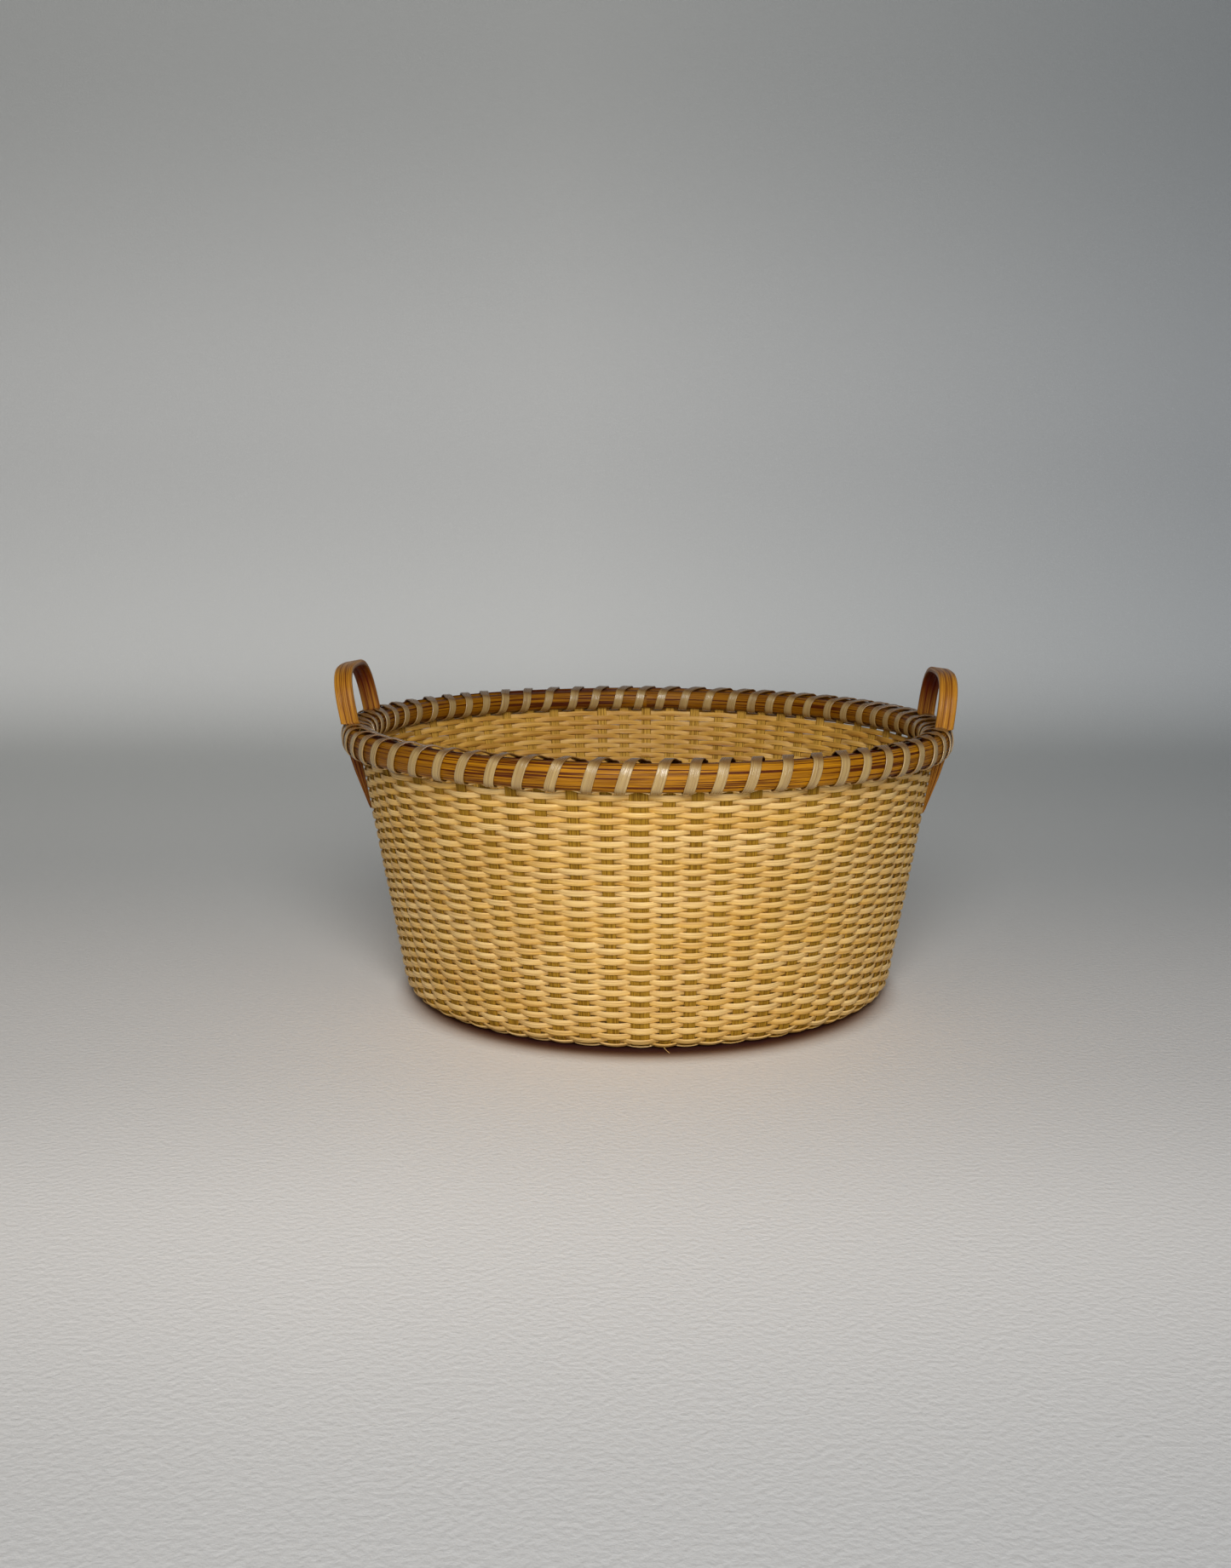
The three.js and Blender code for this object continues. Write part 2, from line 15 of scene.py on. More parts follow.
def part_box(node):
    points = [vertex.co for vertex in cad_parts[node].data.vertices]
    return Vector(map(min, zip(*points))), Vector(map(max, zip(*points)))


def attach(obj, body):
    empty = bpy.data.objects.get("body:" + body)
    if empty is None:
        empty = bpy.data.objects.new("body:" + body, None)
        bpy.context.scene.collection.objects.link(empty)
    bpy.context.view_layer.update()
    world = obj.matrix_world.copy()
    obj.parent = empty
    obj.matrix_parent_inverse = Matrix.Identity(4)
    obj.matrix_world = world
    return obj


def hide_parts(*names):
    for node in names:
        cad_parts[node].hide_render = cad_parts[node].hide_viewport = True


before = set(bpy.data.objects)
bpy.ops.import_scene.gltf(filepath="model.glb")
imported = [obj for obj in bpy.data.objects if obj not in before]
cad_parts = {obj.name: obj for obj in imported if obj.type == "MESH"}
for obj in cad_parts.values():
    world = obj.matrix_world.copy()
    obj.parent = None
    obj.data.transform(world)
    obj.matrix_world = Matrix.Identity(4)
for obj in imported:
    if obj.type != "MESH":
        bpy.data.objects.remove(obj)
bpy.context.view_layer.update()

bl_info = {
    "name": "Splint basket",
    "version": (1, 0, 0),
    "blender": (4, 5, 0),
    "location": "3D View > Sidebar > Basket",
    "description": "Builds a woven splint basket with a lashed rim and two ear handles",
    "category": "Add Mesh",
}

MM = 0.001
RIM_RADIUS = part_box("outer_rim")[1][0]
RIM_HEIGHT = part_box("outer_rim")[1][2]
SPOKES = sum(name.startswith("spoke_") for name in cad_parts)
ENDS = 2 * SPOKES + 1
UPRIGHTS = 2 * ENDS - 1
STEP = 2 * pi / UPRIGHTS
FRONT = radians(-1.35)  # azimuth of the wide upright that is not slit
STACK_RADIUS = 21 * MM  # the splints lie on one another inside it
HUB_RADIUS = 33 * MM  # the splints lie side by side outside it
FORK_RADIUS = 70 * MM  # the ends of the splints are slit outside it
HUB_END_WIDTH = 7.4 * MM  # width of the unslit end at the fork
SEED = 12


def linear(code):
    """Linear RGBA of an sRGB hex colour."""
    parts = np.array([int(code[i:i + 2], 16) / 255 for i in (1, 3, 5)])
    straight = np.where(parts <= 0.04045, parts / 12.92, ((parts + 0.055) / 1.055) ** 2.4)
    return [*straight.tolist(), 1.0]


def length(name, description, default):
    """A size that a user may change, in metres."""
    return FloatProperty(name=name, description=description, default=default, min=0.0, precision=4,
                         subtype="DISTANCE", unit="LENGTH")


def colour(name, description, code):
    """A finish that a user may change, from an sRGB hex colour."""
    return FloatVectorProperty(name=name, description=description, default=linear(code), size=4,
                               min=0.0, max=1.0, subtype="COLOR")


class BasketWeave(bpy.types.PropertyGroup):
    """Sizes of the splints and of the strand woven through them."""

    base_radius: length("Base radius", "Flat part of the base", 115 * MM)
    corner_radius: length("Corner radius", "Outside of the turn from base to wall", 8.8 * MM)
    splint_thickness: length("Splint thickness", "Thickness of the splints", 0.9 * MM)
    upright_width: length("Upright width", "Width of one upright", 5.4 * MM)
    odd_width: length("Wide upright", "Width of the upright that is not slit", 8.4 * MM)
    weaver_width: length("Weaver width", "Width of the strand over an upright", 2.9 * MM)
    gap_width: length("Weaver in the gap", "Width of the strand between two uprights", 2.75 * MM)
    weaver_thickness: length("Weaver thickness", "Thickness of the strand", 0.7 * MM)
    bulge: length("Bulge", "How far the strand swings out from the middle of the wall", 1.15 * MM)
    row_pitch: length("Row pitch", "From one row to the next, along the wall", 2.6 * MM)
    hub_pitch: length("Row pitch at the hub", "From one row to the next inside the fork", 2.9 * MM)


class BasketRim(bpy.types.PropertyGroup):
    """Sizes of the hoops and of the lashing."""

    outer_thickness: length("Outer hoop thickness", "Thickness of the outer hoop", 4.2 * MM)
    outer_depth: length("Outer hoop depth", "Depth of the outer hoop", 12.4 * MM)
    inner_thickness: length("Inner hoop thickness", "Thickness of the inner hoop", 4.7 * MM)
    inner_depth: length("Inner hoop depth", "Depth of the inner hoop", 10.2 * MM)
    inner_drop: length("Inner hoop drop", "How far the inner hoop sits under the outer one", 0.8 * MM)
    strip_width: length("Lashing width", "Width of the lashing strip", 4.8 * MM)
    strip_thickness: length("Lashing thickness", "Thickness of the lashing strip", 0.65 * MM)
    lashings: IntProperty(name="Lashings", description="Lengths of lashing strip", default=3, min=1)


class BasketHandles(bpy.types.PropertyGroup):
    """Sizes of the bent handles."""

    width: length("Strap width", "Width of the strap, across the rim", 8.9 * MM)
    thickness: length("Strap thickness", "Thickness of the strap", 2.9 * MM)
    spread: length("Spread", "Between the middles of the two legs", 60 * MM)
    left_rise: length("Left rise", "Height of the left arch over the rim", 28.0 * MM)
    right_rise: length("Right rise", "Height of the right arch over the rim", 27.2 * MM)
    tail: length("Tail", "Length of the tail under the outer hoop", 28 * MM)
    left_lean: FloatProperty(name="Left lean", description="Outward lean of the left handle",
                             default=radians(11), subtype="ANGLE", unit="ROTATION")
    right_lean: FloatProperty(name="Right lean", description="Outward lean of the right handle",
                              default=radians(7), subtype="ANGLE", unit="ROTATION")
    twist: FloatProperty(name="Twist", description="Turn of each arch, with its front leg outward",
                         default=radians(1.2), subtype="ANGLE", unit="ROTATION")


class BasketFinish(bpy.types.PropertyGroup):
    """Colours of the woods and of the stage."""

    weaver_crest: colour("Weaver, crest", "Crest of a float, rubbed pale", "#F1CE8A")
    weaver_light: colour("Weaver, light", "Paler stretches of the strand", "#E4B352")
    weaver_dark: colour("Weaver, dark", "Darker stretches of the strand", "#995C00")
    upright_light: colour("Upright, light", "Pale growth of the uprights", "#AE8428")
    upright_dark: colour("Upright, dark", "Fibre lines of the uprights", "#5E3800")
    upright_inside: colour("Upright, inside", "Rubbed inner face of the uprights", "#D6A648")
    hoop_light: colour("Hoop, light", "Oiled wood of the hoops", "#C2820E")
    hoop_dark: colour("Hoop, dark", "Streaks along the hoops", "#4A1600")
    strip_light: colour("Lashing, light", "Glossy face of the lashing strip", "#BC9F68")
    strip_dark: colour("Lashing, dark", "Fibre lines of the lashing strip", "#643A04")
    handle_light: colour("Handle, light", "Oiled wood of the handles", "#CC8E2A")
    handle_dark: colour("Handle, dark", "Grooves and the inside of the bend", "#581400")
    floor_near: colour("Floor, near", "Sheet close to the camera", "#B4B3B1")
    floor: colour("Floor", "Sheet in front of the basket", "#E8E4DF")
    floor_far: colour("Floor, far", "Sheet where it starts to rise", "#CECECB")
    horizon: colour("Horizon", "Sheet at the start of its bend", "#BEBFBC")
    backdrop: colour("Backdrop", "Sheet behind the basket", "#E3E3E0")
    backdrop_high: colour("Backdrop, higher", "Sheet over the basket", "#D1D1CF")
    backdrop_top: colour("Backdrop, top", "Sheet high behind the basket", "#B5B6B4")
    right_side_shade: colour("Right side", "Tone that the sheet takes towards the right", "#D4D8DD")
    contact_shadow: colour("Contact", "Sheet close to the foot of the basket", "#3C0E00")
    contact_shadow_edge: colour("Contact, edge", "Sheet around the foot of the basket", "#7A5222")
    glow: FloatProperty(name="Backdrop glow", description="How much lighter the far sheet looks",
                        default=0.25, min=0.0, subtype="FACTOR")


class BasketSettings(bpy.types.PropertyGroup):
    """Everything that the basket is made from."""

    weave: PointerProperty(type=BasketWeave)
    rim: PointerProperty(type=BasketRim)
    handles: PointerProperty(type=BasketHandles)
    finish: PointerProperty(type=BasketFinish)


# Places round the basket

def at(azimuth, radius, height):
    """Points at azimuths, radii and heights."""
    azimuth, radius, height = np.broadcast_arrays(azimuth, radius, height)
    return np.stack((radius * np.sin(azimuth), -radius * np.cos(azimuth), height), axis=-1)


def wander(places, spacing, seed):
    """Smooth random values between -1 and 1, a new one at every spacing."""
    values = np.random.default_rng(SEED + seed).uniform(-1, 1, int(np.max(places) / spacing) + 3)
    whole = np.floor(places / spacing).astype(int)
    share = places / spacing - whole
    share = share * share * (3 - 2 * share)
    return values[whole] * (1 - share) + values[whole + 1] * share


def upright_azimuth(k):
    """Azimuth of upright k, or of a place between two uprights. Their spacing drifts a little."""
    turn = STEP * np.asarray(k, dtype=float)
    drift = 0.7 * np.cos(3 * turn + 0.3) + 0.47 * np.cos(10 * turn) - 1.13
    return FRONT + turn + np.radians(drift)


def slit_azimuth(end):
    """Azimuth of the slit between the two uprights of a splint's end."""
    return FRONT + STEP * (2 * end - 0.5)


def settle(points):
    """The rim of the basket sits a little lower on the right."""
    points = np.array(points)
    points[..., 2] -= radians(0.5) * points[..., 0] * points[..., 2] / RIM_HEIGHT
    return points


class Profile:
    """Middle line of base and wall in the plane of radius and height, by its own length."""

    def __init__(self, weave, rim):
        half = 1.12 * MM  # from the lowest strand up to the middle line
        kick = 2.4 * MM  # how far the hub stands up
        bend = weave.corner_radius - half
        self.upright_radius = RIM_RADIUS - rim.outer_thickness - 4.95 * MM
        self.wall_top = RIM_HEIGHT - rim.outer_depth - 0.3 * MM
        reach = (self.upright_radius - weave.base_radius, self.wall_top - weave.corner_radius)
        slope = atan2(*reach) - asin(bend / sqrt(reach[0] ** 2 + reach[1] ** 2))
        turns = np.linspace(-pi / 2, -slope, 13)
        radius = np.concatenate((
            [HUB_RADIUS, 60 * MM, FORK_RADIUS, 80 * MM],
            weave.base_radius + bend * np.cos(turns),
            [self.upright_radius, self.upright_radius],
        ))
        height = np.concatenate((
            [half + kick, half + 0.65 * MM, half + 0.1 * MM, half],
            weave.corner_radius + bend * np.sin(turns),
            [self.wall_top, RIM_HEIGHT - 5 * MM],
        ))
        steps = np.hypot(np.diff(radius), np.diff(height))
        self.lengths = np.concatenate(([0], np.cumsum(steps)))
        self.radius = radius
        self.height = height
        self.fork = self.lengths[2]
        self.edge = self.lengths[4]
        self.corner = self.lengths[-3]
        self.top = self.lengths[-2]
        self.end = self.lengths[-1]
        self.slope = slope

    def place(self, along):
        """Radius and height at lengths along the line."""
        return np.interp(along, self.lengths, self.radius), np.interp(along, self.lengths, self.height)

    def outward(self, along):
        """Radius and height of the normal that points out of the basket."""
        reach = 1.5 * MM
        before = np.stack(self.place(np.maximum(along - reach, 0)))
        after = np.stack(self.place(np.minimum(along + reach, self.end)))
        across, up = after - before
        size = np.hypot(across, up)
        return up / size, -across / size

    def length_at_radius(self, radius):
        """Length along the flat part of the line at a radius."""
        return float(np.interp(radius, self.radius[:5], self.lengths[:5]))

    def length_at_height(self, height):
        """Length along the straight wall at a height."""
        return np.interp(height, self.height[-3:-1], self.lengths[-3:-1])


# Swept strips

def oval(sides, power):
    """Outline of a rounded strip: across from -1 to 1, through from -1 to 1."""
    turns = np.arange(sides) * 2 * pi / sides
    places = np.stack((np.cos(turns), np.sin(turns)), axis=-1)
    return np.sign(places) * np.abs(places) ** (2 / power)


FLAT = np.array([
    (1, -0.45), (1, 0.45), (0.95, 0.95), (0.85, 1), (-0.85, 1), (-0.95, 0.95),
    (-1, 0.45), (-1, -0.45), (-0.95, -0.95), (-0.85, -1), (0.85, -1), (0.95, -0.95),
])
CROWNED = np.array([
    (1, -0.4), (1, 0.3), (0.9, 0.72), (0.45, 1), (-0.45, 1), (-0.9, 0.72),
    (-1, 0.3), (-1, -0.4), (-0.9, -1), (0.9, -1),
])


def unit(vectors):
    """Vectors of length one."""
    return vectors / np.linalg.norm(vectors, axis=-1, keepdims=True)


def strip(centres, outward, widths, thicknesses, outline, wear_and_shade=0.0, start=0.0, loop=False):
    """Sweeps an outline along a path. Its through direction faces outward."""
    count = len(centres)
    if loop:
        tangents = unit(np.roll(centres, -1, axis=0) - np.roll(centres, 1, axis=0))
    else:
        tangents = unit(np.gradient(centres, axis=0))
    across = unit(np.cross(outward, tangents))
    through = np.cross(tangents, across)
    widths = np.broadcast_to(widths, count)
    thicknesses = np.broadcast_to(thicknesses, count)
    rings = (
        centres[:, None]
        + across[:, None] * (outline[:, 0] * widths[:, None] / 2)[..., None]
        + through[:, None] * (outline[:, 1] * thicknesses[:, None] / 2)[..., None]
    )
    return swept(rings, wear_and_shade, start, loop)


def swept(rings, wear_and_shade=0.0, start=0.0, loop=False):
    """Rings of points with their lengths along and round them, and their wear and painted shade."""
    count, sides = rings.shape[:2]
    middles = rings.mean(axis=1)
    if loop:
        middles = np.concatenate((middles, middles[:1]))
    along = start + np.concatenate(([0], np.cumsum(np.linalg.norm(np.diff(middles, axis=0), axis=1))))
    closed = np.concatenate((rings[count // 2], rings[count // 2][:1]))
    around = np.concatenate(([0], np.cumsum(np.linalg.norm(np.diff(closed, axis=0), axis=1))))
    wear_and_shade = np.asarray(wear_and_shade, dtype=float)
    wear_and_shade = np.broadcast_to(wear_and_shade[:, None] if wear_and_shade.ndim == 1 else wear_and_shade, (count, sides))
    return {"rings": rings, "along": along, "around": around, "wear_and_shade": wear_and_shade, "loop": loop}


def add_mesh(name, sweeps, material, smooth_angle=55):
    """One mesh object from swept strips, with a map of the lengths along and across the grain."""
    points, wears, corners, starts, coordinates = [], [], [], [], []
    first, corner = 0, 0
    for sweep in sweeps:
        rings, along, around = sweep["rings"], sweep["along"], sweep["around"]
        count, sides = rings.shape[:2]
        steps = count if sweep["loop"] else count - 1
        i, j = (part.ravel() for part in np.indices((steps, sides)))
        near, far = i * sides, (i + 1) % count * sides
        after = (j + 1) % sides
        corners.append(first + np.stack((near + j, near + after, far + after, far + j), axis=1).ravel())
        coordinates.append(np.stack((
            np.stack((along[i], around[j]), axis=1),
            np.stack((along[i], around[j + 1]), axis=1),
            np.stack((along[i + 1], around[j + 1]), axis=1),
            np.stack((along[i + 1], around[j]), axis=1),
        ), axis=1).reshape(-1, 2))
        starts.append(corner + 4 * np.arange(len(i)))
        corner += 4 * len(i)
        if not sweep["loop"]:
            for cap, place in ((np.arange(sides)[::-1], 0), (np.arange(sides), count - 1)):
                corners.append(first + place * sides + cap)
                coordinates.append(np.stack((np.full(sides, along[place]), around[cap]), axis=1))
                starts.append([corner])
                corner += sides
        points.append(rings.reshape(-1, 3))
        wears.append(sweep["wear_and_shade"].ravel())
        first += count * sides
    points = settle(np.concatenate(points))
    corners, starts = np.concatenate(corners), np.concatenate(starts)
    mesh = bpy.data.meshes.new(name)
    mesh.vertices.add(len(points))
    mesh.vertices.foreach_set("co", points.ravel())
    mesh.loops.add(len(corners))
    mesh.loops.foreach_set("vertex_index", corners)
    mesh.polygons.add(len(starts))
    mesh.polygons.foreach_set("loop_start", starts)
    mesh.update(calc_edges=True)
    mesh.validate()
    grain = mesh.uv_layers.new(name="grain")
    grain.uv.foreach_set("vector", np.concatenate(coordinates).ravel())
    wear_and_shade = mesh.attributes.new("wear_and_shade", "FLOAT", "POINT")
    wear_and_shade.data.foreach_set("value", np.concatenate(wears))
    mesh.shade_smooth()
    mesh.set_sharp_from_angle(angle=radians(smooth_angle))
    mesh.materials.append(material)
    piece = bpy.data.objects.new(name, mesh)
    bpy.context.scene.collection.objects.link(piece)
    return piece


def place_piece(name, sweeps, material, nodes, smooth_angle=55):
    """A piece of the basket that stands for nodes of the frame."""
    piece = add_mesh(name, sweeps, material, smooth_angle)
    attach(piece, "root")
    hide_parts(*nodes)
    return piece


# Materials

def add_node(tree, kind, inputs=None, **settings):
    """Adds a node. Inputs are values or the outputs of other nodes, by name or place."""
    node = tree.nodes.new(kind)
    for key, value in settings.items():
        setattr(node, key, value)
    for key, value in (inputs or {}).items():
        if isinstance(value, bpy.types.NodeSocket):
            tree.links.new(value, node.inputs[key])
        else:
            node.inputs[key].default_value = value
    return node


def split_wood(name, colours, fibre, figure, streak, depths, roughness, gloss, relief):
    """Wood split or shaved along its grain. Sizes are pairs, along and across the grain. Depths say
    how far figure, fibres and streaks turn the light colour to the dark one."""
    light, dark, worn_and_shade_colour = colours
    material = bpy.data.materials.new(name)
    material.use_nodes = True
    tree = material.node_tree
    tree.nodes.clear()
    grain = add_node(tree, "ShaderNodeUVMap", uv_map="grain").outputs["UV"]
    masks = []
    for shift, (along, across), low, high in (
        (11.7, figure, 0.28, 0.72), (3.1, fibre, 0.34, 0.66), (23.9, streak, 0.5, 0.62),
    ):
        place = add_node(tree, "ShaderNodeMapping", {
            "Vector": grain, "Location": (shift, shift, 0), "Scale": (1 / along, 1 / across, 1),
        })
        noise = add_node(tree, "ShaderNodeTexNoise", {
            "Vector": place.outputs["Vector"], "Scale": 1.0, "Detail": 3.0,
        }, noise_dimensions="2D")
        masks.append(add_node(tree, "ShaderNodeMapRange", {
            "Value": noise.outputs["Fac"], "From Min": low, "From Max": high,
        }, interpolation_type="SMOOTHSTEP").outputs["Result"])
    wear_and_shade = add_node(tree, "ShaderNodeAttribute", attribute_name="wear_and_shade").outputs["Fac"]
    # above zero, the attribute mixes in the third colour and below zero the dark one.
    # It carries real wear, and also painted highlight and shade
    tone = light
    for mask, depth, shade in (
        (masks[0], depths[0], dark), (wear_and_shade, 1.0, worn_and_shade_colour), (wear_and_shade, -1.0, dark),
        (masks[1], depths[1], dark), (masks[2], depths[2], dark),
    ):
        share = add_node(tree, "ShaderNodeMath", {0: mask, 1: depth},
                         operation="MULTIPLY", use_clamp=True)
        tone = add_node(tree, "ShaderNodeMix", {0: share.outputs[0], 6: tone, 7: shade},
                        data_type="RGBA").outputs[2]
    bump = add_node(tree, "ShaderNodeBump", {"Height": masks[1], "Distance": relief}, invert=True)
    rough = add_node(tree, "ShaderNodeMapRange", {
        "Value": masks[1], "To Min": roughness - 0.05, "To Max": roughness + 0.1,
    })
    shader = add_node(tree, "ShaderNodeBsdfPrincipled", {
        "Base Color": tone, "Roughness": rough.outputs["Result"], "Normal": bump.outputs["Normal"],
        "IOR": 1.45, "Specular IOR Level": gloss,
    })
    add_node(tree, "ShaderNodeOutputMaterial", {"Surface": shader.outputs["BSDF"]})
    return material


# Splints

def hub_azimuth(j):
    """Azimuth of splint j where it crosses the hub, towards its end j."""
    return (slit_azimuth(j) + slit_azimuth(j + SPOKES) - pi) / 2


def splint_end(weave, profile, j, end):
    """One end of splint j from the middle of the hub to the fork, as azimuth, radius, height, width."""
    hub = hub_azimuth(j) + (pi if end > SPOKES else 0)
    radius = np.array([0, 8, 15, 21, 24, 27, 30, 33, 40, 48, 56, 63, 70]) * MM
    # neighbours lie in layers far apart, so that the star is even
    layer = (1.4 + 0.4 * (j * 7 % SPOKES)) * MM
    rise = np.clip((radius - STACK_RADIUS) / (12 * MM), 0, 1)
    rise = rise * rise * (3 - 2 * rise)
    height = layer + (profile.place(profile.length_at_radius(HUB_RADIUS))[1] - layer) * rise
    outer = radius > HUB_RADIUS
    height[outer] = profile.place(np.array([profile.length_at_radius(r) for r in radius[outer]]))[1]
    turn = np.clip((radius - STACK_RADIUS) / (49 * MM), 0, 1)
    azimuth = hub + (slit_azimuth(end) - hub) * turn
    # shaved narrow and thin where the splints lie on one another
    width = np.interp(radius, [STACK_RADIUS, HUB_RADIUS, FORK_RADIUS],
                      [3.4 * MM, 4.8 * MM, 2 * weave.upright_width])
    thickness = np.interp(radius, [STACK_RADIUS, HUB_RADIUS], [0.4 * MM, weave.splint_thickness])
    return at(azimuth, radius, height), width, thickness


def prong(weave, profile, k, slit, side):
    """Upright k from the fork to its top between the hoops, at side -1 or 1 of its slit, or at 0
    for the end that has none."""
    along = np.concatenate((
        np.linspace(profile.fork, profile.edge, 9),
        np.linspace(profile.edge, profile.corner, 11)[1:],
        np.linspace(profile.corner, profile.top, 24)[1:],
        [profile.top + 1.5 * MM, profile.end],
    ))
    radius, height = profile.place(along)
    share = np.clip((along - profile.fork) / (profile.edge - profile.fork), 0, 1)
    offset = (1 - share) * side * weave.upright_width / 2 / radius
    azimuth = (1 - share) * slit + share * upright_azimuth(k) + offset
    width = weave.upright_width
    if side == 0:
        width = HUB_END_WIDTH + share * (weave.odd_width - HUB_END_WIDTH)
    out = profile.outward(along)
    # only the face towards the inside of the basket is rubbed
    rubbed = np.broadcast_to(0.8 * (FLAT[:, 1] < -0.9), (len(along), len(FLAT)))
    return strip(at(azimuth, radius, height), at(azimuth, *out), width, weave.splint_thickness,
                 FLAT, rubbed, 0.3 * k)


class BASKET_OT_split_splints(bpy.types.Operator):
    """Lays the splints across the hub and bends their slit ends up as uprights"""

    bl_idname = "basket.split_splints"
    bl_label = "Split the splints"

    def execute(self, context):
        basket = context.scene.basket
        weave, finish = basket.weave, basket.finish
        profile = Profile(weave, basket.rim)
        # Ash splints, split along the grain and left bare: fine upright fibre lines, dull and browner
        # than the weaver, darkened further as painted shade in the windows between the floats
        colours = (finish.upright_light, finish.upright_dark, finish.upright_inside)
        material = split_wood("split_ash_upright", colours, fibre=(30 * MM, 0.6 * MM),
                              figure=(60 * MM, 1.6 * MM), streak=(40 * MM, 0.7 * MM),
                              depths=(0.3, 0.35, 0.55), roughness=0.6, gloss=0.1, relief=0.12 * MM)
        for j in range(1, SPOKES + 1):
            sweeps = []
            near, near_width, near_thickness = splint_end(weave, profile, j, j)
            far, far_width, far_thickness = splint_end(weave, profile, j, j + SPOKES)
            centres = np.concatenate((near[::-1], far[1:]))
            sweeps.append(strip(
                centres, np.broadcast_to((0.0, 0.0, -1.0), centres.shape),
                np.concatenate((near_width[::-1], far_width[1:])),
                np.concatenate((near_thickness[::-1], far_thickness[1:])), FLAT, start=0.3 * j,
            ))
            for end in (j, j + SPOKES):
                slit = slit_azimuth(end)
                sweeps.append(prong(weave, profile, 2 * end - 1, slit, -1))
                sweeps.append(prong(weave, profile, 2 * end, slit, 1))
            place_piece(f"splint_{j:02d}", sweeps, material, [f"spoke_{j:02d}"])
        along = np.linspace(profile.length_at_radius(HUB_RADIUS), profile.fork, 6)
        radius, height = profile.place(along)
        root = strip(at(FRONT, radius, height), at(FRONT, *profile.outward(along)),
                     np.linspace(1.8 * MM, HUB_END_WIDTH, 6), weave.splint_thickness, FLAT)
        sweeps = [root, prong(weave, profile, 0, FRONT, 0)]
        place_piece("half_splint", sweeps, material, ["odd_half_spoke"])
        return {"FINISHED"}


# Weavers

def end_azimuth(x):
    """Azimuth of splint end x, or between two ends, inside the fork."""
    ends = np.arange(ENDS + 1)
    places = np.where(ends == 0, 0, 2 * ends - 0.5)
    places[-1] = UPRIGHTS
    return FRONT + STEP * (np.interp(x % ENDS, ends, places) + UPRIGHTS * (x // ENDS))


def weaver(weave, profile, crossings, azimuth, along, segments, outline, start):
    """The strand over and under the splints from one crossing to another. Azimuth and along give its
    places from the number of the crossing. Each row is out of step with the last, because the
    number of splints is odd."""
    first, last = crossings
    x = np.linspace(first, last, int((last - first) * segments) + 1)
    angle = azimuth(x)
    middle = along(x, angle)
    swing = np.cos(pi * x)
    # a power under one makes each float a little flatter than a wave
    bulge = weave.bulge * (1 + 0.1 * wander(x, 1.0, 1)) * np.sign(swing) * np.abs(swing) ** 0.8
    # the last rows are flat to go between the hoops, and the rows under the basket are rubbed flat
    bulge = bulge * (1 - 0.35 * np.clip((middle - profile.top) / (4 * MM) + 1, 0, 1))
    bulge = bulge * (1 - 0.45 * np.clip((profile.edge + 12 * MM - middle) / (12 * MM), 0, 1))
    middle = middle + 0.13 * MM * wander(x, 1.7, 2)
    radius, height = profile.place(middle)
    out_radius, out_height = profile.outward(middle)
    centres = at(angle, radius + bulge * out_radius, height + bulge * out_height)
    outward = at(angle, out_radius, out_height)
    width = weave.gap_width + (weave.weaver_width - weave.gap_width) * np.abs(swing) ** 1.4
    width = width * (1 + 0.05 * wander(x, 2.3, 3) + 0.05 * wander(x, 17.0, 4))
    # pale on the rubbed crest of each float. The upper edge of each float is painted light as a
    # highlight, its lower edge dark as the shadow under it, and its inside face dark as painted shade
    rubbed = np.clip(0.4 + 0.2 * swing + 0.35 * wander(x, 3.0, 5), 0, 1)
    wear_and_shade = rubbed[:, None] + 0.25 * outline[:, 0] - 0.6 * (outline[:, 0] < -0.95)
    wear_and_shade = wear_and_shade - 0.4 * (outline[:, 1] < -0.35)
    return strip(centres, outward, width, weave.weaver_thickness, outline, wear_and_shade, start)


def row_waves(angle, strength):
    """Rows rise and fall a little round the basket."""
    return strength * (0.45 * np.sin(2 * angle + 0.4) + 0.3 * np.sin(5 * angle + 1.9)) * MM


def weaver_material(finish):
    """Material of the woven strand."""
    # White oak weaver, shaved thin and satin smooth: pale rubbed floats with silky lengthwise
    # fibres, and browner stretches where the grain changes. The pale colour also paints the highlight
    # on the upper edge of each float, and the dark one the shadow under the floats and the inside shade
    colours = (finish.weaver_light, finish.weaver_dark, finish.weaver_crest)
    return split_wood("shaved_oak_weaver", colours, fibre=(14 * MM, 0.42 * MM),
                      figure=(45 * MM, 1.4 * MM), streak=(50 * MM, 0.8 * MM),
                      depths=(0.3, 0.22, 0.3), roughness=0.48, gloss=0.5, relief=0.08 * MM)


